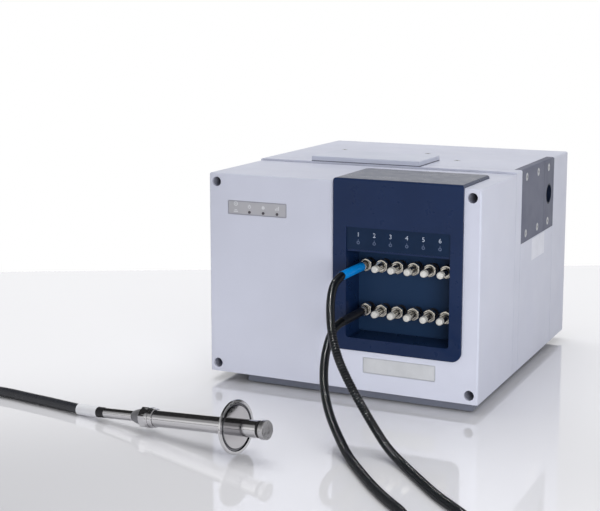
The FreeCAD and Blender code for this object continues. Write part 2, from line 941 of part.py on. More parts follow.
def make_back_panel():
    front = back_panel_y - back_panel_thickness
    panel = block(
        -inner_half + fit_gap,
        inner_half - fit_gap,
        front,
        back_panel_y,
        floor_plate_top + fit_gap,
        rear_top - cover_wall - fit_gap,
    )
    for seat in back_screw_seats:
        panel = panel.cut(screw_hole(seat, Y, small_head_radius))

    face = back_panel_y + inlet_flange_thickness
    inlet_at = V(inlet_x, back_panel_y - inlet_body[1] / 2, inlet_z)
    switch_at = V(switch_x, back_panel_y - switch_body[1] / 2, inlet_z)
    flange = block(
        inlet_x - inlet_body[0] / 2 - inlet_flange_margin,
        switch_x + switch_body[0] / 2 + inlet_flange_margin / 2,
        back_panel_y,
        face,
        inlet_z - switch_body[2] / 2 - inlet_flange_margin / 4,
        inlet_z + switch_body[2] / 2 + inlet_flange_margin / 4,
    )
    inlet = joined([flange, centred_block(inlet_at, inlet_body), centred_block(switch_at, switch_body)])
    cavity_at = V(inlet_x, face - inlet_cavity[1] / 2 + 1, inlet_z)
    inlet = inlet.cut(centred_block(cavity_at, (inlet_cavity[0], inlet_cavity[1] + 2, inlet_cavity[2])))
    pin_y = face - inlet_cavity[1] + inlet_pin[1] / 2 - hair
    for side in (-1, 0, 1):
        pin_z = inlet_z + inlet_pin_offset * (1 - 2 * abs(side))
        inlet = inlet.fuse(centred_block(V(inlet_x + side * inlet_pin_spread, pin_y, pin_z), inlet_pin))

    pivot = V(switch_x, back_panel_y + inlet_flange_thickness - rocker_pivot_depth, inlet_z)
    sweep = math.hypot(rocker_front, rocker_half_height) + rocker_gap
    well_half = rocker_width / 2 + rocker_gap
    well = block(
        switch_x - well_half,
        switch_x + well_half,
        pivot.y - rocker_hub_radius - rocker_gap,
        face + 1,
        inlet_z - sweep,
        inlet_z + sweep,
    )
    inlet = inlet.cut(well)
    reach = well_half + rocker_pin_reach
    socket_end = X * (reach + fit_gap)
    inlet = inlet.cut(rod(pivot - socket_end, X, rocker_pin_radius + running_gap, 2 * socket_end.Length))
    points = [V(switch_x - rocker_width / 2, pivot.y + y, inlet_z + z) for y, z in rocker_profile()]
    bar = Part.Face(Part.makePolygon(points + [points[0]])).extrude(X * rocker_width)
    hub = rod(pivot - X * (rocker_width / 2), X, rocker_hub_radius, rocker_width)
    pin = rod(pivot - X * reach, X, rocker_pin_radius, 2 * reach)
    rocker = joined([bar, hub, pin])
    rocker.rotate(pivot, X, rocker_tilt)
    keep("power_switch_rocker", rocker)

    data_at = V(data_x, back_panel_y - data_body[1] / 2, inlet_z)
    lip_at = V(data_x, back_panel_y + data_flange[1] / 2, inlet_z)
    hole_at = V(data_x, back_panel_y + data_flange[1] - data_cavity[1] / 2 + 1, inlet_z)
    socket = joined([centred_block(data_at, data_body), centred_block(lip_at, data_flange)])
    socket = socket.cut(centred_block(hole_at, (data_cavity[0], data_cavity[1] + 2, data_cavity[2])))
    keep("back_sockets", Part.makeCompound([inlet.removeSplitter(), socket]))

    for place, size in ((inlet_at, inlet_body), (switch_at, switch_body), (data_at, data_body)):
        panel = panel.cut(centred_block(place, (size[0] + 2 * fit_gap, size[1] + 2, size[2] + 2 * fit_gap)))
    keep("back_panel", panel.removeSplitter())


def make_panel_screws():
    screws = [screw(seat, X, side_head_radius) for seat in side_screw_seats]
    screws += [screw(seat, Z, top_screw_radius) for seat in top_screw_seats]
    screws += [screw(seat, Y, small_head_radius) for seat in back_screw_seats]
    keep("cover_screws", Part.makeCompound(screws))


# Optical bench

beam_z = bench_bottom + bench_thickness + beam_rise


def make_bench():
    bench = block(-bench_half_width, bench_half_width, bench_front, bench_back, bench_bottom, bench_top)
    pivot = rod(V(pivot_x, pivot_y, bench_top), Z, pivot_radius, beam_rise + arm_hub_height / 2 + motor_clear)
    shoulder_height = beam_rise - arm_hub_height / 2 - seat_gap
    shoulder = rod(V(pivot_x, pivot_y, bench_top), Z, arm_hub_radius, shoulder_height)
    mounts = []
    for x in (-bench_half_width + mount_inset, bench_half_width - mount_inset):
        for y in (bench_front + mount_inset, bench_back - mount_inset):
            mounts.append(rod(V(x, y, floor_plate_top), Z, mount_radius, bench_bottom - floor_plate_top))
    keep("optical_bench", joined([bench, shoulder, pivot] + mounts))


def make_lamp():
    x0 = lamp_x - lamp_size[0] / 2
    y0 = beam_y - lamp_size[1] / 2
    y1 = y0 + lamp_size[1]
    housing = block(x0, x0 + lamp_size[0], y0, y1, bench_top, bench_top + lamp_size[2])
    slot_pitch = lamp_size[1] / (lamp_fin_slots + 1)
    for number in range(lamp_fin_slots):
        y = y0 + slot_pitch * (number + 1)
        housing = housing.cut(
            block(
                x0 - 1,
                x0 + lamp_fin_depth,
                y - lamp_fin_gap / 2,
                y + lamp_fin_gap / 2,
                bench_top + lamp_fin_depth,
                bench_top + lamp_size[2] + 1,
            )
        )
    mouth = V(lamp_x, y1, beam_z)
    housing = housing.cut(rod(mouth + Y, -Y, lamp_bore_radius, lamp_bore_depth + 1))
    housing = housing.cut(rod(V(lamp_x, beam_y, beam_z), X, lamp_beam_radius, lamp_size[0]))
    keep("lamp_housing", housing)
    base = rod(mouth, -Y, lamp_bore_radius - seat_gap, bulb_base_length)
    bulb = rod(mouth - Y * bulb_base_length, -Y, bulb_radius, bulb_length)
    keep("halogen_lamp", joined([base, bulb]))


def make_mirrors():
    mirrors = []
    for x, deep, turn in mirror_places:
        y = bench_front + deep
        centre = V(x, y, beam_z)
        facing = V(math.cos(math.radians(turn)), math.sin(math.radians(turn)), 0)
        disc = rod(centre - facing * (mirror_thickness / 2), facing, mirror_radius, mirror_thickness)
        post = rod(V(x, y, bench_top), Z, mirror_post_radius, beam_rise - mirror_radius + 2)
        mirrors.append(joined([disc, post.cut(disc)]))
    half = splitter_frame / 2
    centre = V(splitter_x, beam_y, beam_z)
    frame = block(
        splitter_x - half,
        splitter_x + half,
        beam_y - splitter_thickness / 2,
        beam_y + splitter_thickness / 2,
        bench_top,
        beam_z + half,
    )
    frame = frame.cut(rod(centre - Y * splitter_thickness, Y, splitter_radius, 2 * splitter_thickness))
    glass = rod(centre - Y * (glass_thickness / 2), Y, splitter_radius, glass_thickness)
    holder = joined([frame, glass])
    holder.rotate(centre, Z, splitter_turn)
    keep("beam_optics", Part.makeCompound(mirrors + [holder]))


def reflector(centre, back):
    """A cube-corner reflector: a cup that is open towards the beamsplitter."""
    cup = rod(centre - back * (reflector_length / 2), back, reflector_radius, reflector_length)
    mouth = centre - back * (reflector_length / 2 + 1)
    return cup.cut(rod(mouth, back, reflector_bore_radius, reflector_bore_depth + 1))


def make_swing_arm():
    z0 = beam_z - arm_hub_height / 2
    hub = rod(V(pivot_x, pivot_y, z0), Z, arm_hub_radius, arm_hub_height)
    half = arm_width / 2
    low = beam_z - half
    high = beam_z + half
    reach = reflector_radius - arm_lap
    to_front = block(pivot_x - half, pivot_x + half, beam_y + reach, pivot_y, low, high)
    to_side = block(splitter_x + reach, pivot_x, pivot_y - half, pivot_y + half, low, high)
    front_cup = reflector(V(pivot_x, beam_y, beam_z), X)
    side_cup = reflector(V(splitter_x, pivot_y, beam_z), Y)
    arm = joined([hub, to_front, to_side, front_cup, side_cup])
    arm = arm.cut(rod(V(pivot_x, pivot_y, z0 - 1), Z, pivot_radius + running_gap, arm_hub_height + 2))
    keep("swing_arm", arm)


def make_laser():
    tube = rod(V(laser_x, laser_y, beam_z), X, laser_radius, laser_length)
    saddles = []
    for x in (laser_x + laser_saddle_inset, laser_x + laser_length - laser_saddle_inset - laser_saddle_width):
        y0 = laser_y - laser_radius
        saddles.append(block(x, x + laser_saddle_width, y0, y0 + 2 * laser_radius, bench_top, beam_z))
    keep("reference_laser", joined([tube] + saddles))


def motor(shaft_end, outward):
    """A small square motor on a foot, with its shaft's far end at a given point."""
    face = shaft_end - outward * shaft_length
    centre = face - outward * (motor_length / 2)
    size = (
        motor_length if outward.x else motor_size,
        motor_length if outward.y else motor_size,
        motor_size,
    )
    body = centred_block(centre, size)
    foot_z = centre.z - motor_size / 2
    foot_rise = foot_z - bench_top
    foot_at = V(centre.x, centre.y, bench_top + foot_rise / 2)
    foot = centred_block(foot_at, (size[0] / 2, size[1] / 2, foot_rise))
    return joined([body, foot, rod(face, outward, shaft_radius, shaft_length)])


def make_wheel_and_selector():
    wheel_y = beam_y - wheel_hole_circle
    centre = V(wheel_x, wheel_y, beam_z)
    wheel = rod(centre, X, wheel_radius, wheel_thickness)
    wheel = wheel.fuse(rod(centre, X, wheel_hub_radius, wheel_thickness + motor_clear))
    for number in range(wheel_holes):
        turn = 2 * math.pi * number / wheel_holes
        at = centre + V(-1, wheel_hole_circle * math.cos(turn), wheel_hole_circle * math.sin(turn))
        wheel = wheel.cut(rod(at, X, wheel_hole_radius, wheel_thickness + 2))
    wheel = wheel.cut(rod(centre - X, X, shaft_radius + running_gap, wheel_thickness + motor_clear + 2))
    keep("filter_wheel", wheel)

    hub_at = V(selector_x, selector_y, beam_z)
    hub = rod(hub_at, Y, selector_hub_radius, selector_hub_length)
    half = selector_head_radius / 2
    arm_at = hub_at + X * (selector_arm_length / 2) + Y * (selector_hub_length / 2)
    arm = centred_block(arm_at, (selector_arm_length, selector_hub_length, 2 * half))
    head = rod(hub_at + X * selector_arm_length, Y, selector_head_radius, selector_hub_length)
    selector = joined([hub, arm, head])
    selector = selector.cut(rod(hub_at - Y, Y, shaft_radius + running_gap, selector_hub_length + 2))
    keep("channel_selector", selector)
    keep("drive_motors", Part.makeCompound([motor(centre, -X), motor(hub_at, -Y)]))


def make_electronics():
    detector = centred_block(V(detector_x, detector_y, bench_top + detector_size[2] / 2), detector_size)
    snout_at = V(detector_x, detector_y - detector_size[1] / 2, beam_z)
    snout = rod(snout_at, -Y, detector_snout_radius, detector_snout_length)
    keep("detector_module", joined([detector, snout]))

    carrier_face = -inner_half + board_wall_gap + board_carrier
    board_x = carrier_face + board_standoff
    half = board_half_length
    board = block(board_x, board_x + board_thickness, -half, half, board_bottom, board_top)
    for y in (board_standoff - half, 0, half - board_standoff):
        for z in (board_bottom + board_standoff, board_top - board_standoff):
            board = board.fuse(rod(V(carrier_face, y, z), X, board_standoff_radius, board_standoff))
    for y, z, size, height in board_chips:
        x = board_x + board_thickness
        board = board.fuse(block(x, x + height, y - size / 2, y + size / 2, z - size / 2, z + size / 2))
    keep("circuit_board", board.removeSplitter())
    keep(
        "power_supply",
        centred_block(V(supply_x, supply_y, floor_plate_top + supply_size[2] / 2), supply_size),
    )


# Fibre cable

# Route points, chosen to follow the cable as it hangs from its plugs and lies on the table
upper_leg_points = [
    V(29.5, -291, 176),
    V(33, -312, 169),
    V(40, -334, 154),
    V(51, -356, 130),
    V(67, -373, 101),
    V(87, -383, 74),
    V(108, -392, 50),
    V(128, -402, 30),
    V(150, -416, 13),
    V(178, -439, 5.2),
    V(211, -476, 5.2),
    V(245, -513, 5.2),
    V(277, -541, 5.2),
    V(303, -566, 5.2),
    V(317, -598, 5.2),
    V(315, -632, 5.2),
    V(297, -661, 5.2),
    V(268, -679, 5.2),
    V(237, -688, 5.6),
]
lower_leg_points = [
    V(28.8, -291, 116.5),
    V(32, -312, 112),
    V(36, -333, 102),
    V(41, -353, 88),
    V(49, -373, 71),
    V(60, -391, 52),
    V(75, -408, 34),
    V(93, -424, 18),
    V(115, -442, 7),
    V(141, -471, 5.2),
    V(171, -507, 5.2),
    V(203, -543, 5.2),
    V(230, -572, 5.2),
    V(246, -602, 5.2),
    V(246, -635, 5.2),
    V(229, -663, 5.6),
]
trunk_points = [
    V(4, -741, 6.7),
    V(-58, -757, 6.7),
    V(-124, -771, 6.7),
    V(-192, -775, 6.7),
    V(-256, -763, 6.7),
    V(-312, -736, 6.7),
    V(-362, -699, 6.7),
    V(-408, -657, 6.7),
    V(-448, -612, 6.7),
    V(-482, -566, 6.7),
    V(-501, -530.5, 6.7),
    V(-505.5, -494, 6.7),
    V(-495.5, -459, 6.7),
    V(-472, -431, 6.7),
    V(-439, -415, 6.7),
    V(-402, -412.5, 6.7),
    V(-357, -419, 6.7),
    V(-312, -424.4, 6.7),
]


def cord(name, points, radius):
    """A tube along straight runs joined by tangent arcs as large as the runs allow."""
    runs = [after - before for before, after in zip(points, points[1:])]
    edges = []
    radii = []
    start = points[0]
    length = 0.0
    for corner, before, after in zip(points[1:], runs, runs[1:]):
        turn = before.getAngle(after)
        cut = arc_share * min(before.Length, after.Length)
        bend = cut / math.tan(turn / 2)
        into = V(before).normalize()
        away = V(after).normalize()
        first = corner - into * cut
        last = corner + away * cut
        inward = (away - into).normalize()
        sag = bend / math.cos(turn / 2) - bend
        edges.append(Part.LineSegment(start, first).toShape())
        edges.append(Part.Arc(first, corner + inward * sag, last).toShape())
        length += start.distanceToPoint(first) + bend * turn
        radii.append(bend)
        start = last
    edges.append(Part.LineSegment(start, points[-1]).toShape())
    length += start.distanceToPoint(points[-1])
    section = Part.Wire([Part.Circle(points[0], runs[0], radius).toShape()])
    tube = Part.Wire(edges).makePipeShell([section], True, False)
    expected = math.pi * radius**2 * length
    print(f"{name}: length {length:.0f}, tightest arc {min(radii):.0f}, radii", [round(r) for r in radii])
    print(f"{name}: volume is {tube.Volume / expected:.4f} of section times length, valid {tube.isValid()}")
    keep(name, tube)


def make_plug(row):
    """The plug in the first port of a row: its coupling nut, its body with a ferrule, and its long sleeve."""
    x = port_x[0]
    z = at_z(port_rows[row])
    nut_start = V(x, adapter_front - plug_nut_clear, z)
    keep(
        row + "_plug_nut",
        ring(nut_start, -Y, plug_nut_radius, adapter_barrel_radius + running_gap, plug_nut_length),
    )
    face = V(x, barrel_end - fit_gap, z)
    seat = V(x, nose_end - fit_gap, z)
    body = rod(face, -Y, plug_body_radius, plug_body_length)
    body = body.cut(rod(face, -Y, adapter_nose_radius + running_gap, adapter_nose_length))
    body = body.fuse(rod(seat, Y, ferrule_radius, ferrule_reach))
    sleeve_start = V(x, adapter_front - plug_nut_clear - plug_nut_length - fit_gap, z)
    sleeve_length = sleeve_start.y - at_y(-sleeve_end)
    sleeve = rod(sleeve_start, -Y, sleeve_radius, sleeve_length)
    bore_length = sleeve_start.y - face.y + plug_body_length
    sleeve = sleeve.cut(rod(sleeve_start, -Y, adapter_barrel_radius + running_gap, bore_length))
    keep(row + "_sleeve", sleeve)
    return body.removeSplitter()


def make_cable():
    keep("plug_bodies", Part.makeCompound([make_plug(row) for row in port_rows]))
    heading = V(math.cos(math.radians(junction_heading)), math.sin(math.radians(junction_heading)), 0)
    across = heading.cross(Z)
    inlets = {
        "upper": junction_start - across * (junction_leg_spacing / 2),
        "lower": junction_start + across * (junction_leg_spacing / 2),
    }
    middles = {"upper": upper_leg_points, "lower": lower_leg_points}
    for row in port_rows:
        start = V(port_x[0], at_y(-sleeve_end), at_z(port_rows[row]))
        points = [start] + middles[row] + [inlets[row] - heading * straight_run, inlets[row]]
        cord(row + "_leg", points, leg_radius)

    outlet = junction_start + heading * junction_length
    base = junction_start - Z * (junction_height / 2)
    wide = across * (junction_width / 2)
    narrow = across * (junction_nose_width / 2)
    shoulder = heading * (junction_length * junction_shoulder)
    end = heading * junction_length
    outline = [
        base - wide,
        base - wide + shoulder,
        base - narrow + end,
        base + narrow + end,
        base + wide + shoulder,
        base + wide,
    ]
    junction = Part.Face(Part.makePolygon(outline + [outline[0]])).extrude(Z * junction_height)
    upper_edges = edges_at(junction, lambda p: abs(p.z - base.z - junction_height) < hair)
    keep("y_junction", junction.makeFillet(junction_round, upper_edges))

    points = [outlet, outlet + heading * straight_run] + trunk_points + [marker_end]
    cord("trunk_cable", points, trunk_radius)
    boot_face = probe_at(-boot_end)
    along = (boot_face - marker_end).normalize()
    marker_length = boot_face.distanceToPoint(marker_end) + marker_lap
    keep("marker_sleeve", rod(marker_end, along, marker_radius, marker_length))


# Immersion probe

probe_axis = V(
    math.cos(math.radians(probe_heading)) * math.cos(math.radians(probe_tilt)),
    math.sin(math.radians(probe_heading)) * math.cos(math.radians(probe_tilt)),
    math.sin(math.radians(probe_tilt)),
)


def probe_at(along):
    """A place on the probe's axis, measured from the flange towards the tip."""
    return probe_flange_at + probe_axis * along


def turned(profile):
    """A body turned about the probe's axis from points of distance along it and radius."""
    side = probe_axis.cross(Z).normalize()
    points = [probe_at(along) + side * radius for along, radius in profile]
    face = Part.Face(Part.makePolygon(points + [points[0]]))
    return face.revolve(probe_at(0), probe_axis, 360)


def make_probe():
    boot = rod(probe_at(-boot_end), probe_axis, boot_radius, boot_end - rear_tube_end)
    rear_edge = edges_at(boot, lambda p: p.distanceToPoint(probe_at(-boot_end)) < hair)
    keep("probe_boot", boot.makeFillet(boot_round, rear_edge))
    groove_floor = flange_front - flange_groove_depth
    groove_slope = flange_groove_depth / 2
    body = turned(
        (
            (-rear_tube_end, 0),
            (-rear_tube_end, rear_tube_radius),
            (-cone_start, rear_tube_radius),
            (-cone_end, cone_radius),
            (-gland_rear, cone_radius),
            (-gland_rear, probe_tube_radius),
            (-flange_rear, probe_tube_radius),
            (-flange_rear, flange_bevel_radius),
            (flange_front - flange_rim, flange_radius),
            (flange_front, flange_radius),
            (flange_front, flange_groove_outer),
            (groove_floor, flange_groove_outer - groove_slope),
            (groove_floor, flange_groove_inner + groove_slope),
            (flange_front, flange_groove_inner),
            (flange_front, probe_tube_radius),
            (probe_tube_front, probe_tube_radius),
            (probe_tube_front, probe_core_radius),
            (probe_tube_front + seal_length, probe_core_radius),
            (probe_tube_front + seal_length, 0),
        )
    )
    keep("probe_body", body)
    collar_start = gland_front + gland_collar_length
    gland = hexagon(probe_at(-gland_rear), probe_axis, gland_flats, gland_rear - collar_start, gland_turn)
    collar = rod(probe_at(-collar_start), probe_axis, gland_collar_radius, gland_collar_length)
    bore = rod(probe_at(-gland_rear), probe_axis, probe_tube_radius + seat_gap, gland_rear - gland_front)
    keep("gland_nut", joined([gland, collar]).cut(bore))
    seal_start = probe_at(probe_tube_front)
    keep("probe_seal", ring(seal_start, probe_axis, seal_radius, probe_core_radius, seal_length))
    tip_start = probe_at(probe_tube_front + seal_length)
    tip = rod(tip_start, probe_axis, tip_radius, tip_length)
    front_edge = edges_at(tip, lambda p: p.distanceToPoint(tip_start + probe_axis * tip_length) < hair)
    tip = tip.makeFillet(tip_round, front_edge)
    window_at = tip_start + probe_axis * (tip_length - tip_window_thickness)
    tip = tip.cut(rod(window_at, probe_axis, tip_window_radius, tip_window_thickness + 1))
    keep("probe_tip", tip)


make_feet()
make_hood()
make_front_plates()
make_fascia()
make_port_plate()
make_ports()
make_rear_cover()
make_gasket()
make_lid()
make_side_panels()
make_chassis()
make_back_panel()
make_panel_screws()
make_bench()
make_lamp()
make_mirrors()
make_swing_arm()
make_laser()
make_wheel_and_selector()
make_electronics()
make_cable()
make_probe()

os.makedirs("parts", exist_ok=True)
for name, shape in parts.items():
    shape.exportStep(f"parts/{name}.step")
    if not shape.isValid():
        print("not valid:", name)
print(len(parts), "parts")
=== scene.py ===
import math

import bmesh
import bpy
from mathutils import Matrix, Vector


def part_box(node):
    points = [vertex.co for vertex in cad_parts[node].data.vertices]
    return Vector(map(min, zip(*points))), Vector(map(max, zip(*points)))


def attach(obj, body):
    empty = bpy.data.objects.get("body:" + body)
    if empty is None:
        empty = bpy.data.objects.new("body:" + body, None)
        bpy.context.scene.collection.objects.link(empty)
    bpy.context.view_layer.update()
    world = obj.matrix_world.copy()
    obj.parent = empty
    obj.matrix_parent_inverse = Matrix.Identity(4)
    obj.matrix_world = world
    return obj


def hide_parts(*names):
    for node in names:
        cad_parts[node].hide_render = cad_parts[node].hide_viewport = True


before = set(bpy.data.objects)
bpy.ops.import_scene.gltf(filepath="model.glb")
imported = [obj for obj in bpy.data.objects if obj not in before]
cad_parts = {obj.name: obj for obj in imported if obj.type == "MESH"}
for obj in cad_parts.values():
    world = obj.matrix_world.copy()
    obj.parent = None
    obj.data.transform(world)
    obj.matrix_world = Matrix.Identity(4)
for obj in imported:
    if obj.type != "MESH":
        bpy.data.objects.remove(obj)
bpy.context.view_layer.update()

# The looks of the near-infrared spectrometer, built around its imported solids. Metres throughout,
# in the same frame as the solids.

MM = 0.001


def linear(red, green, blue):
    """A colour written in 0 to 255 steps as a shader takes it."""
    out = []
    for part in (red, green, blue):
        share = part / 255
        out.append(share / 12.92 if share <= 0.04045 else ((share + 0.055) / 1.055) ** 2.4)
    return (*out, 1.0)


# Materials


class Paint:
    """A material under construction: its nodes, and shortcuts to link them."""

    def __init__(self, name, colour, roughness=0.5, metallic=0.0, **sockets):
        self.material = bpy.data.materials.new(name)
        self.material.use_nodes = True
        self.tree = self.material.node_tree
        self.shader = self.tree.nodes["Principled BSDF"]
        self.colour = linear(*colour)
        self.shader.inputs["Base Color"].default_value = self.colour
        self.shader.inputs["Roughness"].default_value = roughness
        self.shader.inputs["Metallic"].default_value = metallic
        for socket, value in sockets.items():
            self.shader.inputs[socket.replace("_", " ")].default_value = value
        self.place = self.node("ShaderNodeTexCoord").outputs["Object"]
        self.height = None

    def node(self, kind, **values):
        made = self.tree.nodes.new(kind)
        for name, value in values.items():
            if name in made.inputs:
                made.inputs[name].default_value = value
            else:
                setattr(made, name, value)
        return made

    def link(self, output, target):
        self.tree.links.new(output, target)

    def noise(self, scale, detail=3.0, roughness=0.6, stretch=(1, 1, 1)):
        mapping = self.node("ShaderNodeMapping")
        mapping.inputs["Scale"].default_value = stretch
        self.link(self.place, mapping.inputs["Vector"])
        made = self.node("ShaderNodeTexNoise", Scale=scale, Detail=detail, Roughness=roughness)
        self.link(mapping.outputs["Vector"], made.inputs["Vector"])
        return made.outputs["Fac"]

    def spread(self, factor, low, high):
        """Maps a factor's middle range to two values."""
        made = self.node("ShaderNodeMapRange")
        made.inputs["From Min"].default_value = 0.3
        made.inputs["From Max"].default_value = 0.7
        made.inputs["To Min"].default_value = low
        made.inputs["To Max"].default_value = high
        self.link(factor, made.inputs["Value"])
        return made.outputs["Result"]

    def vary_colour(self, factor, amount):
        """Varies the base colour a little, from darker to lighter than itself."""
        mix = self.node("ShaderNodeMix", data_type="RGBA")
        low = tuple(part * (1 - amount) for part in self.colour[:3]) + (1.0,)
        high = tuple(min(part * (1 + amount), 1.0) for part in self.colour[:3]) + (1.0,)
        mix.inputs["A"].default_value = low
        mix.inputs["B"].default_value = high
        self.link(self.spread(factor, 0.0, 1.0), mix.inputs["Factor"])
        self.link(mix.outputs["Result"], self.shader.inputs["Base Color"])

    def vary_roughness(self, factor, low, high):
        self.link(self.spread(factor, low, high), self.shader.inputs["Roughness"])

    def bump(self, factor, depth):
        """Adds a bump whose full height is a depth in metres."""
        made = self.node("ShaderNodeBump")
        made.inputs["Strength"].default_value = 1.0
        made.inputs["Distance"].default_value = depth
        self.link(factor, made.inputs["Height"])
        if self.height is not None:
            self.link(self.height, made.inputs["Normal"])
        self.height = made.outputs["Normal"]
        self.link(self.height, self.shader.inputs["Normal"])


def painted_sheet(name, colour, roughness=0.42, grain=0.00004, gloss=0.5):
    """Powder-coated sheet metal: fine orange peel, faint blotches."""
    made = Paint(name, colour, roughness, Specular_IOR_Level=gloss)
    made.vary_colour(made.noise(9, 2), 0.025)
    made.vary_roughness(made.noise(24, 3), roughness - 0.05, roughness + 0.06)
    made.bump(made.noise(900, 2), grain)
    return made.material


def moulded(name, colour, roughness=0.5, grain=0.00003, scale=1500, amount=0.06, gloss=0.5):
    """Moulded plastic or rubber with a fine texture."""
    made = Paint(name, colour, roughness, Specular_IOR_Level=gloss)
    made.vary_colour(made.noise(40, 3), amount)
    made.vary_roughness(made.noise(120, 3), roughness - 0.07, roughness + 0.07)
    made.bump(made.noise(scale, 2), grain)
    return made.material


def metal(name, colour, roughness, grain=0.000008, scale=600, brushed=(1, 1, 1)):
    """Turned or brushed metal, with fine lines along one direction."""
    made = Paint(name, colour, roughness, metallic=1.0)
    lines = made.noise(scale, 4, 0.7, brushed)
    made.vary_colour(lines, 0.05)
    made.vary_roughness(lines, roughness - 0.06, roughness + 0.08)
    made.bump(lines, grain)
    return made.material


def navy_gloss():
    """The fascia's dark blue lacquer, with a thin clear coat."""
    sheen = {"Specular_IOR_Level": 0.17, "Coat_Weight": 0.15, "Coat_Roughness": 0.1}
    made = Paint("navy_gloss", (19, 38, 73), 0.3, **sheen)
    made.vary_colour(made.noise(14, 2), 0.05)
    made.vary_roughness(made.noise(60, 3), 0.26, 0.34)
    made.bump(made.noise(700, 2), 0.00001)
    return made.material


cover_paint = painted_sheet("cover_paint", (198, 201, 216))
lid_paint = painted_sheet("lid_paint", (194, 198, 213), 0.4)
panel_paint = painted_sheet("panel_paint", (90, 94, 113), 0.4, gloss=0.1)
port_panel_paint = painted_sheet("port_panel_paint", (86, 90, 109), 0.4, gloss=0.1)
plinth_paint = painted_sheet("plinth_paint", (110, 114, 128), 0.5)
navy = navy_gloss()
pocket_blue = painted_sheet("pocket_blue", (33, 55, 86), 0.4, gloss=0.15)
strip_blue = moulded("strip_blue", (20, 38, 64), 0.42, gloss=0.15)
nickel = metal("nickel", (205, 200, 190), 0.2, 0.00001, 900)
steel = metal("steel", (202, 201, 203), 0.13, 0.000004, 500)
turned_face = metal("turned_face", (188, 186, 188), 0.08, 0.000004, 500)
tip_steel = metal("tip_steel", (190, 189, 191), 0.3, 0.000004, 500)
turned_cone = metal("turned_cone", (150, 150, 154), 0.5, 0.000006, 500)
# Painted shade: a darker copy of the steel for the flange's groove, for the shade inside it.
groove_painted_shade = metal("groove_painted_shade", (118, 118, 122), 0.2, 0.000008, 500)
machined = metal("machined", (176, 177, 182), 0.34, 0.00001, 300, brushed=(12, 1, 1))
dark_metal = metal("dark_metal", (74, 76, 86), 0.4, 0.00001, 700)
# Painted shade: a dark copy of the nickel for the ports' flanges, washers and necks behind their nuts, where
# the pocket lies in shadow.
washer_painted_shade = metal("washer_painted_shade", (86, 85, 92), 0.45, 0.00001, 700)
cap_white = moulded("cap_white", (208, 207, 203), 0.45)
foil_grey = moulded("foil_grey", (172, 172, 178), 0.4, 0.00001)
plate_silver = moulded("plate_silver", (207, 209, 213), 0.36, 0.00001)
label_pale = moulded("label_pale", (217, 219, 229), 0.5, 0.00001)
border_grey = moulded("border_grey", (148, 149, 160), 0.5, 0.00001)
border_silver = moulded("border_silver", (182, 184, 190), 0.5, 0.00001)
mark_pale = moulded("mark_pale", (204, 206, 210), 0.5, 0.00001)
digit_white = moulded("digit_white", (178, 188, 206), 0.5, 0.00001)
mark_blue = moulded("mark_blue", (78, 92, 120), 0.5, 0.00001)
lens_dark = moulded("lens_dark", (76, 72, 78), 0.2, 0.00001)
rubber_black = moulded("rubber_black", (24, 24, 27), 0.55)
plastic_black = moulded("plastic_black", (20, 20, 23), 0.35)
# Painted shade: a darker copy of the cover paint for the sockets in the hood's deep corner holes, for the
# shade inside them.
socket_painted_shade = painted_sheet("socket_painted_shade", (150, 152, 166), 0.5)
# Painted shadow: a dark grey band at the service lid's foot, for the shadow line where it meets the cover.
shadow_line_grey = moulded("shadow_line_grey", (96, 99, 112), 0.6)
port_black = moulded("port_black", (22, 31, 50), 0.5, gloss=0.2)
cable_black = moulded("cable_black", (24, 25, 29), 0.3, 0.00002, 1800, 0.12)
leg_black = moulded("leg_black", (4, 6, 9), 0.13, 0.00001, 1800, 0.12, gloss=0.3)
sleeve_blue = moulded("sleeve_blue", (0, 136, 220), 0.38)
sleeve_black = moulded("sleeve_black", (20, 20, 24), 0.42)
marker_white = moulded("marker_white", (228, 229, 234), 0.5)
board_green = moulded("board_green", (20, 92, 56), 0.3)
mirror_bright = metal("mirror_bright", (235, 235, 235), 0.08)
lamp_clear = moulded("lamp_clear", (240, 238, 228), 0.15)


def finish_with(node, material):
    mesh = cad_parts[node].data
    mesh.materials.clear()
    mesh.materials.append(material)


node_finish = {
    "front_hood": cover_paint,
    "hood_corner_sockets": socket_painted_shade,
    "rear_cover": cover_paint,
    "top_service_lid": lid_paint,
    "side_panel_main": panel_paint,
    "side_panel_port": port_panel_paint,
    "chassis": plinth_paint,
    "blue_fascia": navy,
    "port_plate": pocket_blue,
    "label_strip": strip_blue,
    "plug_bodies": steel,
    "led_panel": foil_grey,
    "led_lenses": lens_dark,
    "name_plate": plate_silver,
    "side_port_insert": port_black,
    "side_label": label_pale,
    "front_gasket": rubber_black,
    "rubber_feet": rubber_black,
    "hood_screws": dark_metal,
    "cover_screws": machined,
    "back_sockets": plastic_black,
    "back_panel": machined,
    "power_switch_rocker": plastic_black,
    "optical_bench": machined,
    "swing_arm": machined,
    "channel_selector": machined,
    "power_supply": machined,
    "lamp_housing": dark_metal,
    "reference_laser": dark_metal,
    "filter_wheel": dark_metal,
    "detector_module": dark_metal,
    "drive_motors": plastic_black,
    "beam_optics": mirror_bright,
    "halogen_lamp": lamp_clear,
    "circuit_board": board_green,
    "upper_sleeve": sleeve_blue,
    "lower_sleeve": sleeve_black,
    "y_junction": plastic_black,
    "marker_sleeve": marker_white,
    "probe_boot": rubber_black,
    "probe_seal": rubber_black,
    "probe_tip": tip_steel,
}
for node, material in node_finish.items():
    finish_with(node, material)


# Cables: the routes of the solids' tubes, in millimetres, repeated as smooth splines. All the other sizes
# of the cables are in metres.

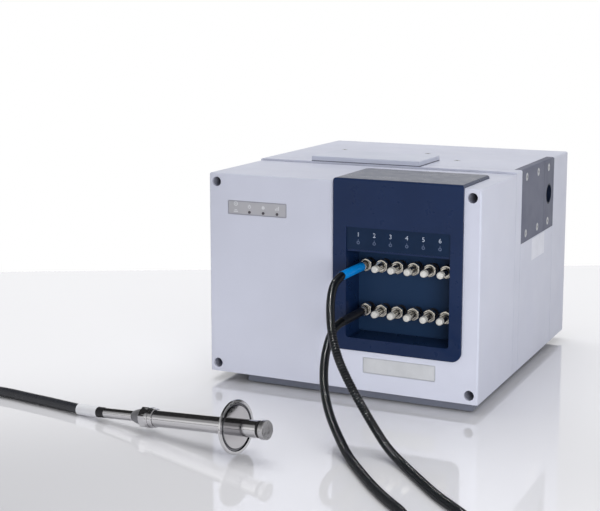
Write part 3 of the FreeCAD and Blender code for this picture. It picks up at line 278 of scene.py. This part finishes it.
UPPER_LEG = [
    (28.6, -272.5, 178.2),
    (29.5, -291, 176),
    (33, -312, 169),
    (40, -334, 154),
    (51, -356, 130),
    (67, -373, 101),
    (87, -383, 74),
    (108, -392, 50),
    (128, -402, 30),
    (150, -416, 13),
    (178, -439, 5.6),
    (211, -476, 5.6),
    (245, -513, 5.6),
    (277, -541, 5.6),
    (303, -566, 5.6),
    (317, -598, 5.6),
    (315, -632, 5.6),
    (297, -661, 5.6),
    (268, -679, 5.6),
    (237, -688, 5.9),
    (204.66, -693.84, 7),
    (173.61, -701.58, 7),
]
LOWER_LEG = [
    (28.6, -272.5, 117.3),
    (28.8, -291, 116.5),
    (32, -312, 112),
    (36, -333, 102),
    (41, -353, 88),
    (49, -373, 71),
    (60, -391, 52),
    (75, -408, 34),
    (93, -424, 18),
    (112, -443.5, 7),
    (136.5, -473, 5.6),
    (166.5, -509.5, 5.6),
    (199.5, -545, 5.6),
    (230, -572, 5.6),
    (246, -602, 5.6),
    (246, -635, 5.6),
    (229, -663, 5.9),
    (201.04, -679.28, 7),
    (169.99, -687.02, 7),
]
TRUNK = [
    (103.88, -711.23, 7),
    (72.83, -718.98, 7),
    (4, -741, 6.7),
    (-58, -757, 6.7),
    (-124, -771, 6.7),
    (-192, -775, 6.7),
    (-256, -763, 6.7),
    (-312, -736, 6.7),
    (-362, -699, 6.7),
    (-408, -657, 6.7),
    (-448, -612, 6.7),
    (-482, -566, 6.7),
    (-501, -530.5, 6.7),
    (-505.5, -494, 6.7),
    (-495.5, -459, 6.7),
    (-472, -431, 6.7),
    (-439, -415, 6.7),
    (-402, -412.5, 6.7),
    (-357, -419, 6.7),
    (-312, -424.4, 6.7),
    (-268, -432.8, 7.4),
]
LEG_RADIUS = 0.0056
LEG_STEPS = 80
LEG_SIDES = 16
RING_PITCH = 0.0036
RING_DEPTH = 0.001
RING_STEPS = 8
TRUNK_DIAMETER = 0.013


def route_curve(name, points, diameter):
    """A smooth open spline over the route's points."""
    curve = bpy.data.curves.new(name, "CURVE")
    curve.dimensions = "3D"
    spline = curve.splines.new("NURBS")
    spline.points.add(len(points) - 1)
    for target, (x, y, z) in zip(spline.points, points):
        target.co = (x * MM, y * MM, z * MM, 1)
    spline.order_u = 3
    spline.use_endpoint_u = True
    spline.resolution_u = 16
    curve.bevel_depth = diameter / 2
    curve.bevel_resolution = 8
    curve.use_fill_caps = True
    made = bpy.data.objects.new(name, curve)
    bpy.context.scene.collection.objects.link(made)
    return made


def declare_cable(made, node):
    """Hangs a cable on the housing and hides the solid that it stands for."""
    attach(made, "housing")
    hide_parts(node)


def spline_points(name, points):
    """The points of the route's smooth spline, close together, in metres."""
    made = route_curve(name, points, 0)
    made.data.splines[0].resolution_u = LEG_STEPS
    line = bpy.data.meshes.new_from_object(made)
    found = [vertex.co.copy() for vertex in line.vertices]
    bpy.data.meshes.remove(line)
    bpy.data.objects.remove(made)
    return found


def even_steps(path, step):
    """Points at even steps along a path, from its first point to its last."""
    found = [path[0]]
    left = step
    for before, after in zip(path, path[1:]):
        span = (after - before).length
        done = 0.0
        while span - done > left:
            done += left
            found.append(before.lerp(after, done / span))
            left = step
        left -= span - done
    found[-1] = path[-1]
    return found


def ribbed_sheath(name, path):
    """A tube along a path, in metres, whose wall has rings all along it."""
    path = even_steps(path, RING_PITCH / RING_STEPS)
    bm = bmesh.new()
    rings = []
    length = 0.0
    normal = Vector((0, 0, 1))
    for number, point in enumerate(path):
        before = path[max(number - 1, 0)]
        after = path[min(number + 1, len(path) - 1)]
        along = (after - before).normalized()
        normal = (normal - along * normal.dot(along)).normalized()
        across = along.cross(normal)
        length += (point - before).length
        wave = abs(math.cos(math.pi * length / RING_PITCH))
        reach = LEG_RADIUS - RING_DEPTH * (1 - wave)
        ring = []
        for side in range(LEG_SIDES):
            angle = math.tau * side / LEG_SIDES
            outward = normal * math.cos(angle) + across * math.sin(angle)
            ring.append(bm.verts.new(point + outward * reach))
        rings.append(ring)
    for first, second in zip(rings, rings[1:]):
        for side in range(LEG_SIDES):
            after = (side + 1) % LEG_SIDES
            bm.faces.new((first[side], first[after], second[after], second[side]))
    bm.faces.new(rings[0])
    bm.faces.new(rings[-1])
    bmesh.ops.recalc_face_normals(bm, faces=bm.faces)
    mesh = bpy.data.meshes.new(name)
    bm.to_mesh(mesh)
    bm.free()
    mesh.materials.append(leg_black)
    mesh.shade_smooth()
    made = bpy.data.objects.new(name, mesh)
    bpy.context.scene.collection.objects.link(made)
    return made


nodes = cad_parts
cables = []
legs = (
    ("upper_leg", UPPER_LEG, 0.716, (0.0286, -0.2725, 0.1782)),
    ("lower_leg", LOWER_LEG, 0.568, (0.0286, -0.2725, 0.1173)),
)
for leg, points, length, exit_point in legs:
    path = spline_points(leg + "_line", points)
    sheath = ribbed_sheath(leg + "_sheath", path)
    declare_cable(sheath, leg)
    cables.append(sheath)
trunk = route_curve("trunk_sheath", TRUNK, TRUNK_DIAMETER)
trunk.data.materials.append(cable_black)
declare_cable(trunk, "trunk_cable")
cables.append(trunk)


# Meshes


def turned(bm, start, axis, profile, steps=48, finish=0):
    """Adds a closed turned shape around an axis, all in millimetres.

    The profile lists (along, radius) from the start, and goes round the cut face. It ends on the axis at
    both ends, where the radius is 0, or closes on itself. A third word at a point is a shape, which changes
    the radius with the angle there."""
    axis = Vector(axis).normalized()
    up = Vector((0, 0, 1)) if abs(axis.z) < 0.9 else Vector((0, 1, 0))
    side = axis.cross(up).normalized()
    up = side.cross(axis)
    rings = []
    for along, radius, *shapes in profile:
        centre = Vector(start) + axis * along
        ring = []
        for number in range(steps if radius else 1):
            angle = math.tau * number / steps
            reach = shapes[0](angle, radius) if shapes else radius
            outward = side * math.cos(angle) + up * math.sin(angle)
            ring.append(bm.verts.new((centre + outward * reach) * MM))
        rings.append(ring)
    pairs = list(zip(rings, rings[1:]))
    if len(rings[0]) > 1:
        pairs.append((rings[-1], rings[0]))
    for first, second in pairs:
        for number in range(steps):
            after = (number + 1) % steps
            corners = []
            for ring, index in ((first, number), (first, after), (second, after), (second, number)):
                vertex = ring[index] if len(ring) > 1 else ring[0]
                if vertex not in corners:
                    corners.append(vertex)
            bm.faces.new(corners).material_index = finish


def six_sided(flats, turn):
    """A shape that flattens a turned one to a hexagon with a corner at an angle."""
    sixth = math.tau / 6

    def reach(angle, radius):
        return min(radius, flats / 2 / math.cos((angle - turn) % sixth - sixth / 2))

    return reach


def ridged(count, depth):
    """A shape that cuts grooves along a turned one, as a knurl or a serrated washer has."""

    def reach(angle, radius):
        share = angle * count / math.tau % 1
        return radius - depth * abs(2 * share - 1)

    return reach


def bar(bm, x0, x1, y0, y1, z0, z1, finish=0):
    """Adds a thin bar, such as a stroke of a printed mark, in millimetres."""
    made = [bm.verts.new((x * MM, y * MM, z * MM)) for x in (x0, x1) for y in (y0, y1) for z in (z0, z1)]
    for corners in ((0, 1, 3, 2), (4, 6, 7, 5), (0, 4, 5, 1), (2, 3, 7, 6), (0, 2, 6, 4), (1, 5, 7, 3)):
        bm.faces.new([made[number] for number in corners]).material_index = finish


CORNER_STEPS = 4
SHARPEST_TURN = 0.05


def frame_band(bm, x0, x1, z0, z1, radius, width, y0, y1, lying=False):
    """Adds a thin band round the inside of a plate's rounded edge, in millimetres.

    On a lying plate, y and z swap."""
    loops = []
    for inset in (0, width):
        turn = radius - inset if radius > inset else SHARPEST_TURN
        outline = []
        for cx, cz, quarter in ((x1, z0, 3), (x1, z1, 0), (x0, z1, 1), (x0, z0, 2)):
            middle_x = cx + (-turn - inset if cx == x1 else turn + inset)
            middle_z = cz + (-turn - inset if cz == z1 else turn + inset)
            for step in range(CORNER_STEPS + 1):
                angle = math.tau / 4 * (quarter + step / CORNER_STEPS)
                outline.append((middle_x + turn * math.cos(angle), middle_z + turn * math.sin(angle)))
        loops.append(outline)
    rings = []
    for outline, y in ((loops[0], y1), (loops[0], y0), (loops[1], y0), (loops[1], y1)):
        places = [(x, z, y) if lying else (x, y, z) for x, z in outline]
        rings.append([bm.verts.new(Vector(place) * MM) for place in places])
    count = len(loops[0])
    for first, second in zip(rings, rings[1:] + rings[:1]):
        for number in range(count):
            after = (number + 1) % count
            bm.faces.new((first[number], first[after], second[after], second[number]))


def new_piece(name, bm, materials, body, slot, *replaced, crease=32):
    """Makes a piece that rides on a body, with edges sharper than the crease, in degrees, left sharp."""
    bmesh.ops.recalc_face_normals(bm, faces=bm.faces)
    mesh = bpy.data.meshes.new(name)
    bm.to_mesh(mesh)
    bm.free()
    for material in materials:
        mesh.materials.append(material)
    mesh.shade_smooth()
    mesh.set_sharp_from_angle(angle=math.radians(crease))
    made = bpy.data.objects.new(name, mesh)
    bpy.context.scene.collection.objects.link(made)
    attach(made, body)
    if replaced:
        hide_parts(*replaced)
    return made


# Ports, caps and plug nuts

FIRST_PORT_X = 28.6
PORT_PITCH = 22.6
PORT_X = [FIRST_PORT_X + PORT_PITCH * number for number in range(6)]
PORT_Z = {"upper": 178.2, "lower": 117.3}
POCKET_BACK = -175.5
CAP_BACK = -210.8
NUT_BACK = -199.0
OUTWARD = (0, -1, 0)
NUT_SHAPE = six_sided(16.2, math.radians(30))
WASHER_SHAPE = ridged(24, 0.5)
KNURL_SHAPE = ridged(24, 0.4)
BORE = 1.6
THREAD_ROOT = 3.85
THREAD_CREST = 4.3
THREAD_RINGS = 13

# Each closed shape of a bulkhead port, from its tail to its nose, with its finish: 0 is bright nickel and 1 a
# dark copy of it on the flange, washers and neck behind the nut, which paints the shade of the pocket behind
# the nut and of the gap at the neck.
PORT_SHAPES = [
    ([(-12, 6.1), (-11.6, 6.5), (0, 6.5), (0, 7.5), (1.6, 7.5), (2, 7.1), (2, 5.6), (8, 5.6)], 1),
    ([(8, 7.0), (8.3, 7.4, WASHER_SHAPE), (9.6, 7.6, WASHER_SHAPE), (9.9, 7.0)], 1),
    ([(9.9, 7.4), (10.1, 7.7), (11.8, 7.7), (12, 7.4)], 1),
    (
        [
            (12, 8.1, NUT_SHAPE),
            (12.4, 8.75, NUT_SHAPE),
            (12.8, 9.4, NUT_SHAPE),
            (17.1, 9.4, NUT_SHAPE),
            (17.35, 9.0, NUT_SHAPE),
            (17.6, 8.6, NUT_SHAPE),
            (17.8, 8.2, NUT_SHAPE),
            (18, 7.6),
        ],
        0,
    ),
    ([(18, 5.9), (18.7, 5.9)], 1),
    (
        [
            (18.7, 6.4),
            (19, 6.8),
            (19.7, 6.8),
            (19.9, 6.35),
            (20.3, 6.35),
            (20.5, 6.8),
            (21.1, 6.8),
            (21.5, 6.4),
        ],
        0,
    ),
    ([(35, 2.7), (35.2, 2.9), (38.5, 2.9), (39, 2.4)], 0),
]


def port_thread():
    """The port's thread, as rings of one millimetre each."""
    points = [(21.5, THREAD_ROOT)]
    for turn in range(THREAD_RINGS):
        points += [(21.8 + turn, THREAD_ROOT), (22.3 + turn, THREAD_CREST)]
    return points + [(34.7, THREAD_ROOT), (35, 3.6)]


def make_ports():
    bm = bmesh.new()
    for z in PORT_Z.values():
        for x in PORT_X:
            for points, finish in PORT_SHAPES + [(port_thread(), 0)]:
                profile = [(points[0][0], BORE)] + points + [(points[-1][0], BORE)]
                turned(bm, (x, POCKET_BACK, z), OUTWARD, profile, finish=finish)
    new_piece("fibre_ports", bm, [nickel, washer_painted_shade], "housing", "nickel", "port_adapters")


CAP_PROFILE = [
    (4.05, 0),
    (4.05, 2.98),
    (0, 2.98),
    (0, 4.5),
    (0.3, 4.8),
    (1.2, 4.8),
    (1.4, 4.6),
    (1.7, 4.7),
    (6.1, 4.66),
    (7.1, 4.45),
    (7.9, 3.95),
    (8.4, 3.2),
    (8.6, 2.3),
    (8.5, 1.2),
    (8.45, 0),
]
PLUG_NUT_PROFILE = [
    (0, 4.38),
    (0, 5.5),
    (0.4, 5.9),
    (0.8, 6.2, KNURL_SHAPE),
    (5.6, 6.2, KNURL_SHAPE),
    (5.9, 5.6),
    (6.3, 5.5),
    (6.6, 5.9),
    (7.6, 5.9),
    (8, 5.5),
    (8, 4.38),
]


def make_caps_and_nuts():
    for row, z in PORT_Z.items():
        bm = bmesh.new()
        turned(bm, (PORT_X[0], NUT_BACK, z), OUTWARD, PLUG_NUT_PROFILE, 96)
        new_piece(f"{row}_knurled_nut", bm, [nickel], f"{row}_nut", "nickel", f"{row}_plug_nut")
        for number, x in enumerate(PORT_X[1:], 2):
            bm = bmesh.new()
            turned(bm, (x, CAP_BACK, z), OUTWARD, CAP_PROFILE)
            node = f"{row}_dust_cap_{number}"
            new_piece(f"{row}_cap_{number}", bm, [cap_white], node, "white_plastic", node, crease=50)


# The probe, whose shapes are measured along its axis from the flange's middle

PROBE_AT = Vector((-17.15, -475.24, 32.6))
PROBE_HEADING = math.radians(-9.8)
PROBE_TILT = math.radians(6.0)
PROBE_AXIS = Vector(
    (
        math.cos(PROBE_TILT) * math.cos(PROBE_HEADING),
        math.cos(PROBE_TILT) * math.sin(PROBE_HEADING),
        math.sin(PROBE_TILT),
    )
)
TUBE_RADIUS = 10.3
REAR_TUBE = [(-209.6, 0), (-209.6, 6.2), (-209.3, 6.5), (-161, 6.5), (-161, 0)]
CONE = [(-161, 0), (-161, 6.5), (-160.3, 6.9), (-145, 11.2), (-144, 11.4), (-144, 0)]
TUBE = [(-144, 0), (-144, TUBE_RADIUS), (-5, TUBE_RADIUS), (-5, 0)]
GLAND_SHAPE = six_sided(24.4, math.radians(20))
GLAND_NUT = [
    (-144, TUBE_RADIUS + 0.1),
    (-144, 12.4, GLAND_SHAPE),
    (-143.2, 14.1, GLAND_SHAPE),
    (-134.3, 14.1, GLAND_SHAPE),
    (-133.5, 12.6, GLAND_SHAPE),
    (-133.5, 12.9),
    (-130.5, 12.9),
    (-130, 12.4),
    (-130, 11.9),
    (-124.6, 11.9),
    (-123.6, 11.2),
    (-123.6, TUBE_RADIUS + 0.1),
]
FLANGE_BACK = [
    (-5, TUBE_RADIUS - 0.3),
    (-5, 22),
    (-0.8, 31.7),
    (-0.4, 32),
    (1.6, 32),
    (2, 31.6),
    (2, 28.5),
    (0.4, 28.5),
    (0.4, TUBE_RADIUS - 0.3),
]
FLANGE_GROOVE = [
    (0.4, 25),
    (0.4, 28.5),
    (2, 28.5),
    (1.25, 27.75),
    (0.5, 27.75),
    (0.5, 25.75),
    (1.25, 25.75),
    (2, 25),
]
FLANGE_FACE = [(0.4, TUBE_RADIUS - 0.3), (0.4, 25), (1.9, 25), (2, 24.9), (2, TUBE_RADIUS - 0.3)]
FRONT_TUBE = [
    (-5, 0),
    (-5, TUBE_RADIUS),
    (35.1, TUBE_RADIUS),
    (35.4, 10),
    (35.4, 8.6),
    (40.4, 8.6),
    (40.4, 0),
]
# The flange's groove takes the darker copy of the steel, a painted shade in the groove.
PROBE_FINISHES = [steel, turned_face, groove_painted_shade, turned_cone]
FACE_FINISH, GROOVE_PAINTED_SHADE, CONE_FINISH = 1, 2, 3
PROBE_STEPS = 96
PROBE_CREASE = 25


def make_probe_body():
    """The probe's steel tube with its cone and flange, and the gland nut around it."""
    shapes = (
        (REAR_TUBE, 0),
        (CONE, CONE_FINISH),
        (TUBE, 0),
        (FLANGE_BACK, 0),
        (FLANGE_FACE, FACE_FINISH),
        (FLANGE_GROOVE, GROOVE_PAINTED_SHADE),
        (FRONT_TUBE, 0),
    )
    bm = bmesh.new()
    for profile, finish in shapes:
        turned(bm, PROBE_AT, PROBE_AXIS, profile, PROBE_STEPS, finish)
    new_piece("probe_tube", bm, PROBE_FINISHES, "housing", "steel", "probe_body", crease=PROBE_CREASE)
    bm = bmesh.new()
    turned(bm, PROBE_AT, PROBE_AXIS, GLAND_NUT, PROBE_STEPS)
    new_piece("probe_gland", bm, [steel], "housing", "steel", "gland_nut", crease=PROBE_CREASE)


make_ports()
make_caps_and_nuts()
make_probe_body()


# Printed marks: port numbers, light symbols and the borders of the plates

STRIP_FRONT = -218.7
PANEL_FRONT = -217.1
INK = 0.08
DIGIT_SIZE = 8.4
DIGIT_Z = 223.2
PORT_MARK_Z = 212.6
LIGHT_Z = 248.8
BAR_FOOT_Z = 246.4


def port_number(number, x):
    """A port's plain number, printed on the strip above it."""
    text = bpy.data.curves.new(f"port_number_{number}", "FONT")
    text.body = str(number)
    text.size = DIGIT_SIZE * MM
    text.align_x = "CENTER"
    text.align_y = "CENTER"
    text.extrude = INK / 2 * MM
    text.materials.append(digit_white)
    made = bpy.data.objects.new(text.name, text)
    made.location = (x * MM, (STRIP_FRONT - INK / 2) * MM, DIGIT_Z * MM)
    made.rotation_euler = (math.radians(90), 0, 0)
    bpy.context.scene.collection.objects.link(made)
    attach(made, "housing")


def mark_dot(bm, x, y, z, radius, inner=0.0):
    """Adds a thin printed dot, or a ring where it has an inner radius."""
    profile = [(0, inner), (0, radius), (INK, radius), (INK, inner)]
    turned(bm, (x, y, z), OUTWARD, profile, 32)


def make_marks():
    """The digits and marks over the ports, the light panel's symbols and the two plates' borders."""
    for number, x in enumerate(PORT_X, 1):
        port_number(number, x)
    bm = bmesh.new()
    for x in PORT_X:
        mark_dot(bm, x, STRIP_FRONT, PORT_MARK_Z, 2.3, 1.1)
        bar(bm, x - 0.4, x + 0.4, STRIP_FRONT - INK, STRIP_FRONT, PORT_MARK_Z + 1.8, PORT_MARK_Z + 4.4)
    new_piece("strip_marks", bm, [mark_blue], "housing", "strip_foil")

    bm = bmesh.new()
    front = PANEL_FRONT - INK
    mark_dot(bm, -154, PANEL_FRONT, 252.2, 3.2, 1.9)
    mark_dot(bm, -154, PANEL_FRONT, 252.2, 1.0)
    bar(bm, -157.4, -150.6, front, PANEL_FRONT, 240.6, 242.2)
    bar(bm, -156, -152, front, PANEL_FRONT, 243, 244.2)
    mark_dot(bm, -133, PANEL_FRONT, LIGHT_Z, 2.4, 1.5)
    bar(bm, -133.4, -132.6, front, PANEL_FRONT, LIGHT_Z, LIGHT_Z + 3.4)
    mark_dot(bm, -112, PANEL_FRONT, LIGHT_Z, 2.4)
    for step, height in enumerate((2.4, 4, 5.6)):
        left = -94 + 2.2 * step
        bar(bm, left, left + 1.3, front, PANEL_FRONT, BAR_FOOT_Z, BAR_FOOT_Z + height)
    new_piece("light_symbols", bm, [mark_pale], "housing", "grey_foil")

    bm = bmesh.new()
    frame_band(bm, -165.9, -77.1, 237.5, 256.2, 1.4, 1.1, front, PANEL_FRONT)
    new_piece("panel_border", bm, [border_grey], "housing", "grey_foil")
    bm = bmesh.new()
    frame_band(bm, 36.1, 136.9, 37.4, 58.2, 1.4, 0.9, front, PANEL_FRONT)
    new_piece("plate_border", bm, [border_silver], "housing", "plate_foil")


LID_THICKNESS = 7.7
LID_RADIUS = 1.5
SHADOW_BAND_OUT = 0.25
SHADOW_BAND_WIDTH = 2
SHADOW_BAND_HEIGHT = 1.2


def make_lid_seal():
    """A dark band round the service lid's foot, a painted shadow line where the lid meets the cover."""
    low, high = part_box("top_service_lid")
    x0, x1, y0, y1 = (part / MM for part in (low[0], high[0], low[1], high[1]))
    foot = high[2] / MM - LID_THICKNESS
    sides = (x0 - SHADOW_BAND_OUT, x1 + SHADOW_BAND_OUT, y0 - SHADOW_BAND_OUT, y1 + SHADOW_BAND_OUT)
    bm = bmesh.new()
    frame_band(bm, *sides, LID_RADIUS, SHADOW_BAND_WIDTH, foot, foot + SHADOW_BAND_HEIGHT, lying=True)
    new_piece("lid_shadow_band", bm, [shadow_line_grey], "housing", "black_rubber")


make_marks()
make_lid_seal()


# Stage

TABLE_REACH = 6


def make_stage():
    """A pale glossy table whose back edge lies where the photograph has it."""
    left = Vector((-0.932, 0.2443, 0))
    right = Vector((0.1232, 0.8175, 0))
    along = (right - left).normalized()
    toward = Vector((along.y, -along.x, 0)) * TABLE_REACH
    back = [left - along * TABLE_REACH, right + along * TABLE_REACH]
    corners = [*back, back[1] + toward, back[0] + toward]
    mesh = bpy.data.meshes.new("table_top")
    mesh.from_pydata([tuple(corner) for corner in corners], [], [(0, 3, 2, 1)])
    table = bpy.data.objects.new("table_top", mesh)
    bpy.context.scene.collection.objects.link(table)
    mesh.materials.append(Paint("table_top", (238, 238, 242), 0.05, IOR=2.6).material)


# How bright the room is on plain surfaces and in shiny ones. The screen is a dark patch of the room that
# only shiny surfaces show, and the dim side is darker up from the floor. A side is a level direction and
# a reach a pair of cosines from it. A foot, a head or a height is how far a direction points upwards.
WORLD_LIGHT = 0.43
GLOSS_LIGHT = 0.42
GLOSS_HEIGHTS = (0.26, 0.36)
SCREEN_LIGHT = 0.03
SCREEN_SIDE = (-0.88, 0.47)
SCREEN_REACH = (0.6, 0.8)
SCREEN_FOOT = (0.26, 0.38)
SCREEN_HEAD = (0.77, 0.85)
DIM_LIGHT = 0.3
DIM_SIDE = (-0.99, -0.14)
DIM_REACH = (0.85, 0.97)
DIM_FOOT = (0.0, 0.03)


def make_world():
    """Plain studio light, and a dark screen that shiny metal shows, as the probe's flange shows its image."""
    world = bpy.data.worlds.new("studio")
    bpy.context.scene.world = world
    world.use_nodes = True
    tree = world.node_tree
    background = tree.nodes["Background"]
    background.inputs["Color"].default_value = (1, 1, 1, 1)

    def plug(target, value):
        if isinstance(value, bpy.types.NodeSocket):
            tree.links.new(value, target)
        else:
            target.default_value = value

    def maths(operation, first, second):
        made = tree.nodes.new("ShaderNodeMath")
        made.operation = operation
        plug(made.inputs[0], first)
        plug(made.inputs[1], second)
        return made.outputs[0]

    def between(value, first, last, low=0.0, high=1.0):
        """A value's place between two limits, eased, as a number from low to high."""
        made = tree.nodes.new("ShaderNodeMapRange")
        made.interpolation_type = "SMOOTHSTEP"
        for socket, number in (("Value", value), ("From Min", first), ("From Max", last)):
            plug(made.inputs[socket], number)
        plug(made.inputs["To Min"], low)
        plug(made.inputs["To Max"], high)
        return made.outputs["Result"]

    def towards(direction, side):
        """How near a direction is to one side of the room, as a cosine, and its height."""
        split = tree.nodes.new("ShaderNodeSeparateXYZ")
        tree.links.new(direction, split.inputs[0])
        x, y, z = split.outputs
        flat = maths("SQRT", maths("ADD", maths("MULTIPLY", x, x), maths("MULTIPLY", y, y)), 0.5)
        along = maths("ADD", maths("MULTIPLY", x, side[0]), maths("MULTIPLY", y, side[1]))
        return maths("DIVIDE", along, flat), z

    def dark_screen(direction):
        along, z = towards(direction, SCREEN_SIDE)
        made = maths("MULTIPLY", between(along, *SCREEN_REACH), between(z, *SCREEN_FOOT))
        return maths("MULTIPLY", made, between(z, *SCREEN_HEAD, 1.0, 0.0))

    ray = tree.nodes.new("ShaderNodeLightPath")
    direction = tree.nodes.new("ShaderNodeTexCoord").outputs["Generated"]
    opposite = tree.nodes.new("ShaderNodeVectorMath")
    opposite.operation = "REFLECT"
    tree.links.new(direction, opposite.inputs[0])
    opposite.inputs[1].default_value = PROBE_AXIS
    screen = maths("MAXIMUM", dark_screen(direction), dark_screen(opposite.outputs["Vector"]))
    along, z = towards(direction, DIM_SIDE)
    dim = maths("MULTIPLY", between(along, *DIM_REACH), between(z, *DIM_FOOT))
    horizon = between(dim, 0.0, 1.0, 1.0, DIM_LIGHT)
    mirrored = between(z, *GLOSS_HEIGHTS, horizon, GLOSS_LIGHT)
    mirrored = between(screen, 0.0, 1.0, mirrored, SCREEN_LIGHT)
    level = between(ray.outputs["Is Glossy Ray"], 0.0, 1.0, WORLD_LIGHT, mirrored)
    seen = maths("MAXIMUM", ray.outputs["Is Camera Ray"], ray.outputs["Is Transmission Ray"])
    tree.links.new(between(seen, 0.0, 1.0, level, 1.0), background.inputs["Strength"])


def softbox(name, place, aim, size, power, lit=None):
    """A soft lamp that shiny surfaces don't mirror, or one for the listed objects alone, which do."""
    light = bpy.data.lights.new(name, "AREA")
    light.shape = "RECTANGLE"
    light.size, light.size_y = size
    light.energy = power
    made = bpy.data.objects.new(name, light)
    made.location = place
    made.rotation_euler = (Vector(aim) - Vector(place)).to_track_quat("-Z", "Y").to_euler()
    made.visible_camera = False
    made.visible_glossy = lit is not None
    if lit:
        made.light_linking.receiver_collection = bpy.data.collections.new(name + "_lit")
        for piece in lit:
            made.light_linking.receiver_collection.objects.link(piece)
    bpy.context.scene.collection.objects.link(made)


CAMERA_PLACE = (0.6739, -1.7530, 0.5199)
CAMERA_DOWN = 8.579
CAMERA_TURN = 25.441


def make_camera():
    """The photograph's view, fitted to it."""
    camera = bpy.data.cameras.new("camera")
    camera.lens = 77.30
    camera.sensor_width = 36
    camera.sensor_fit = "HORIZONTAL"
    camera.shift_y = -0.0925
    camera.clip_start = 0.01
    made = bpy.data.objects.new("camera", camera)
    made.location = CAMERA_PLACE
    made.rotation_euler = (math.radians(90 - CAMERA_DOWN), 0, math.radians(CAMERA_TURN))
    bpy.context.scene.collection.objects.link(made)
    bpy.context.scene.camera = made


make_stage()
make_world()
softbox("key_light", (0.9, -1.3, 0.22), (0.1, -0.2, 0.1), (0.7, 0.8), 14)
softbox("side_light", (2.4, 0.3, 0.7), (0.2, 0.1, 0.15), (1.6, 1.4), 4)
softbox("top_light", (-0.45, 0.6, 2.5), (0, 0, 0.2), (2.2, 2.2), 42.5)
softbox("left_light", (-2.2, -1.4, 1.2), (0, -0.2, 0.1), (1.2, 1.8), 3)
softbox("cable_light", (0.3, -1.95, 1.1), (0.1, -0.4, 0.05), (0.14, 0.14), 55, cables)
softbox("cable_top_light", (-0.5, 0.7, 1.6), (0.15, -0.45, 0), (0.2, 0.2), 35, cables)
hood = [nodes["front_hood"]]
softbox("bounce_light", (-0.02, -0.42, 0.015), (-0.02, -0.23, 0.03), (0.5, 0.03), 0.14, hood)
make_camera()
bpy.context.scene.view_settings.view_transform = "Standard"
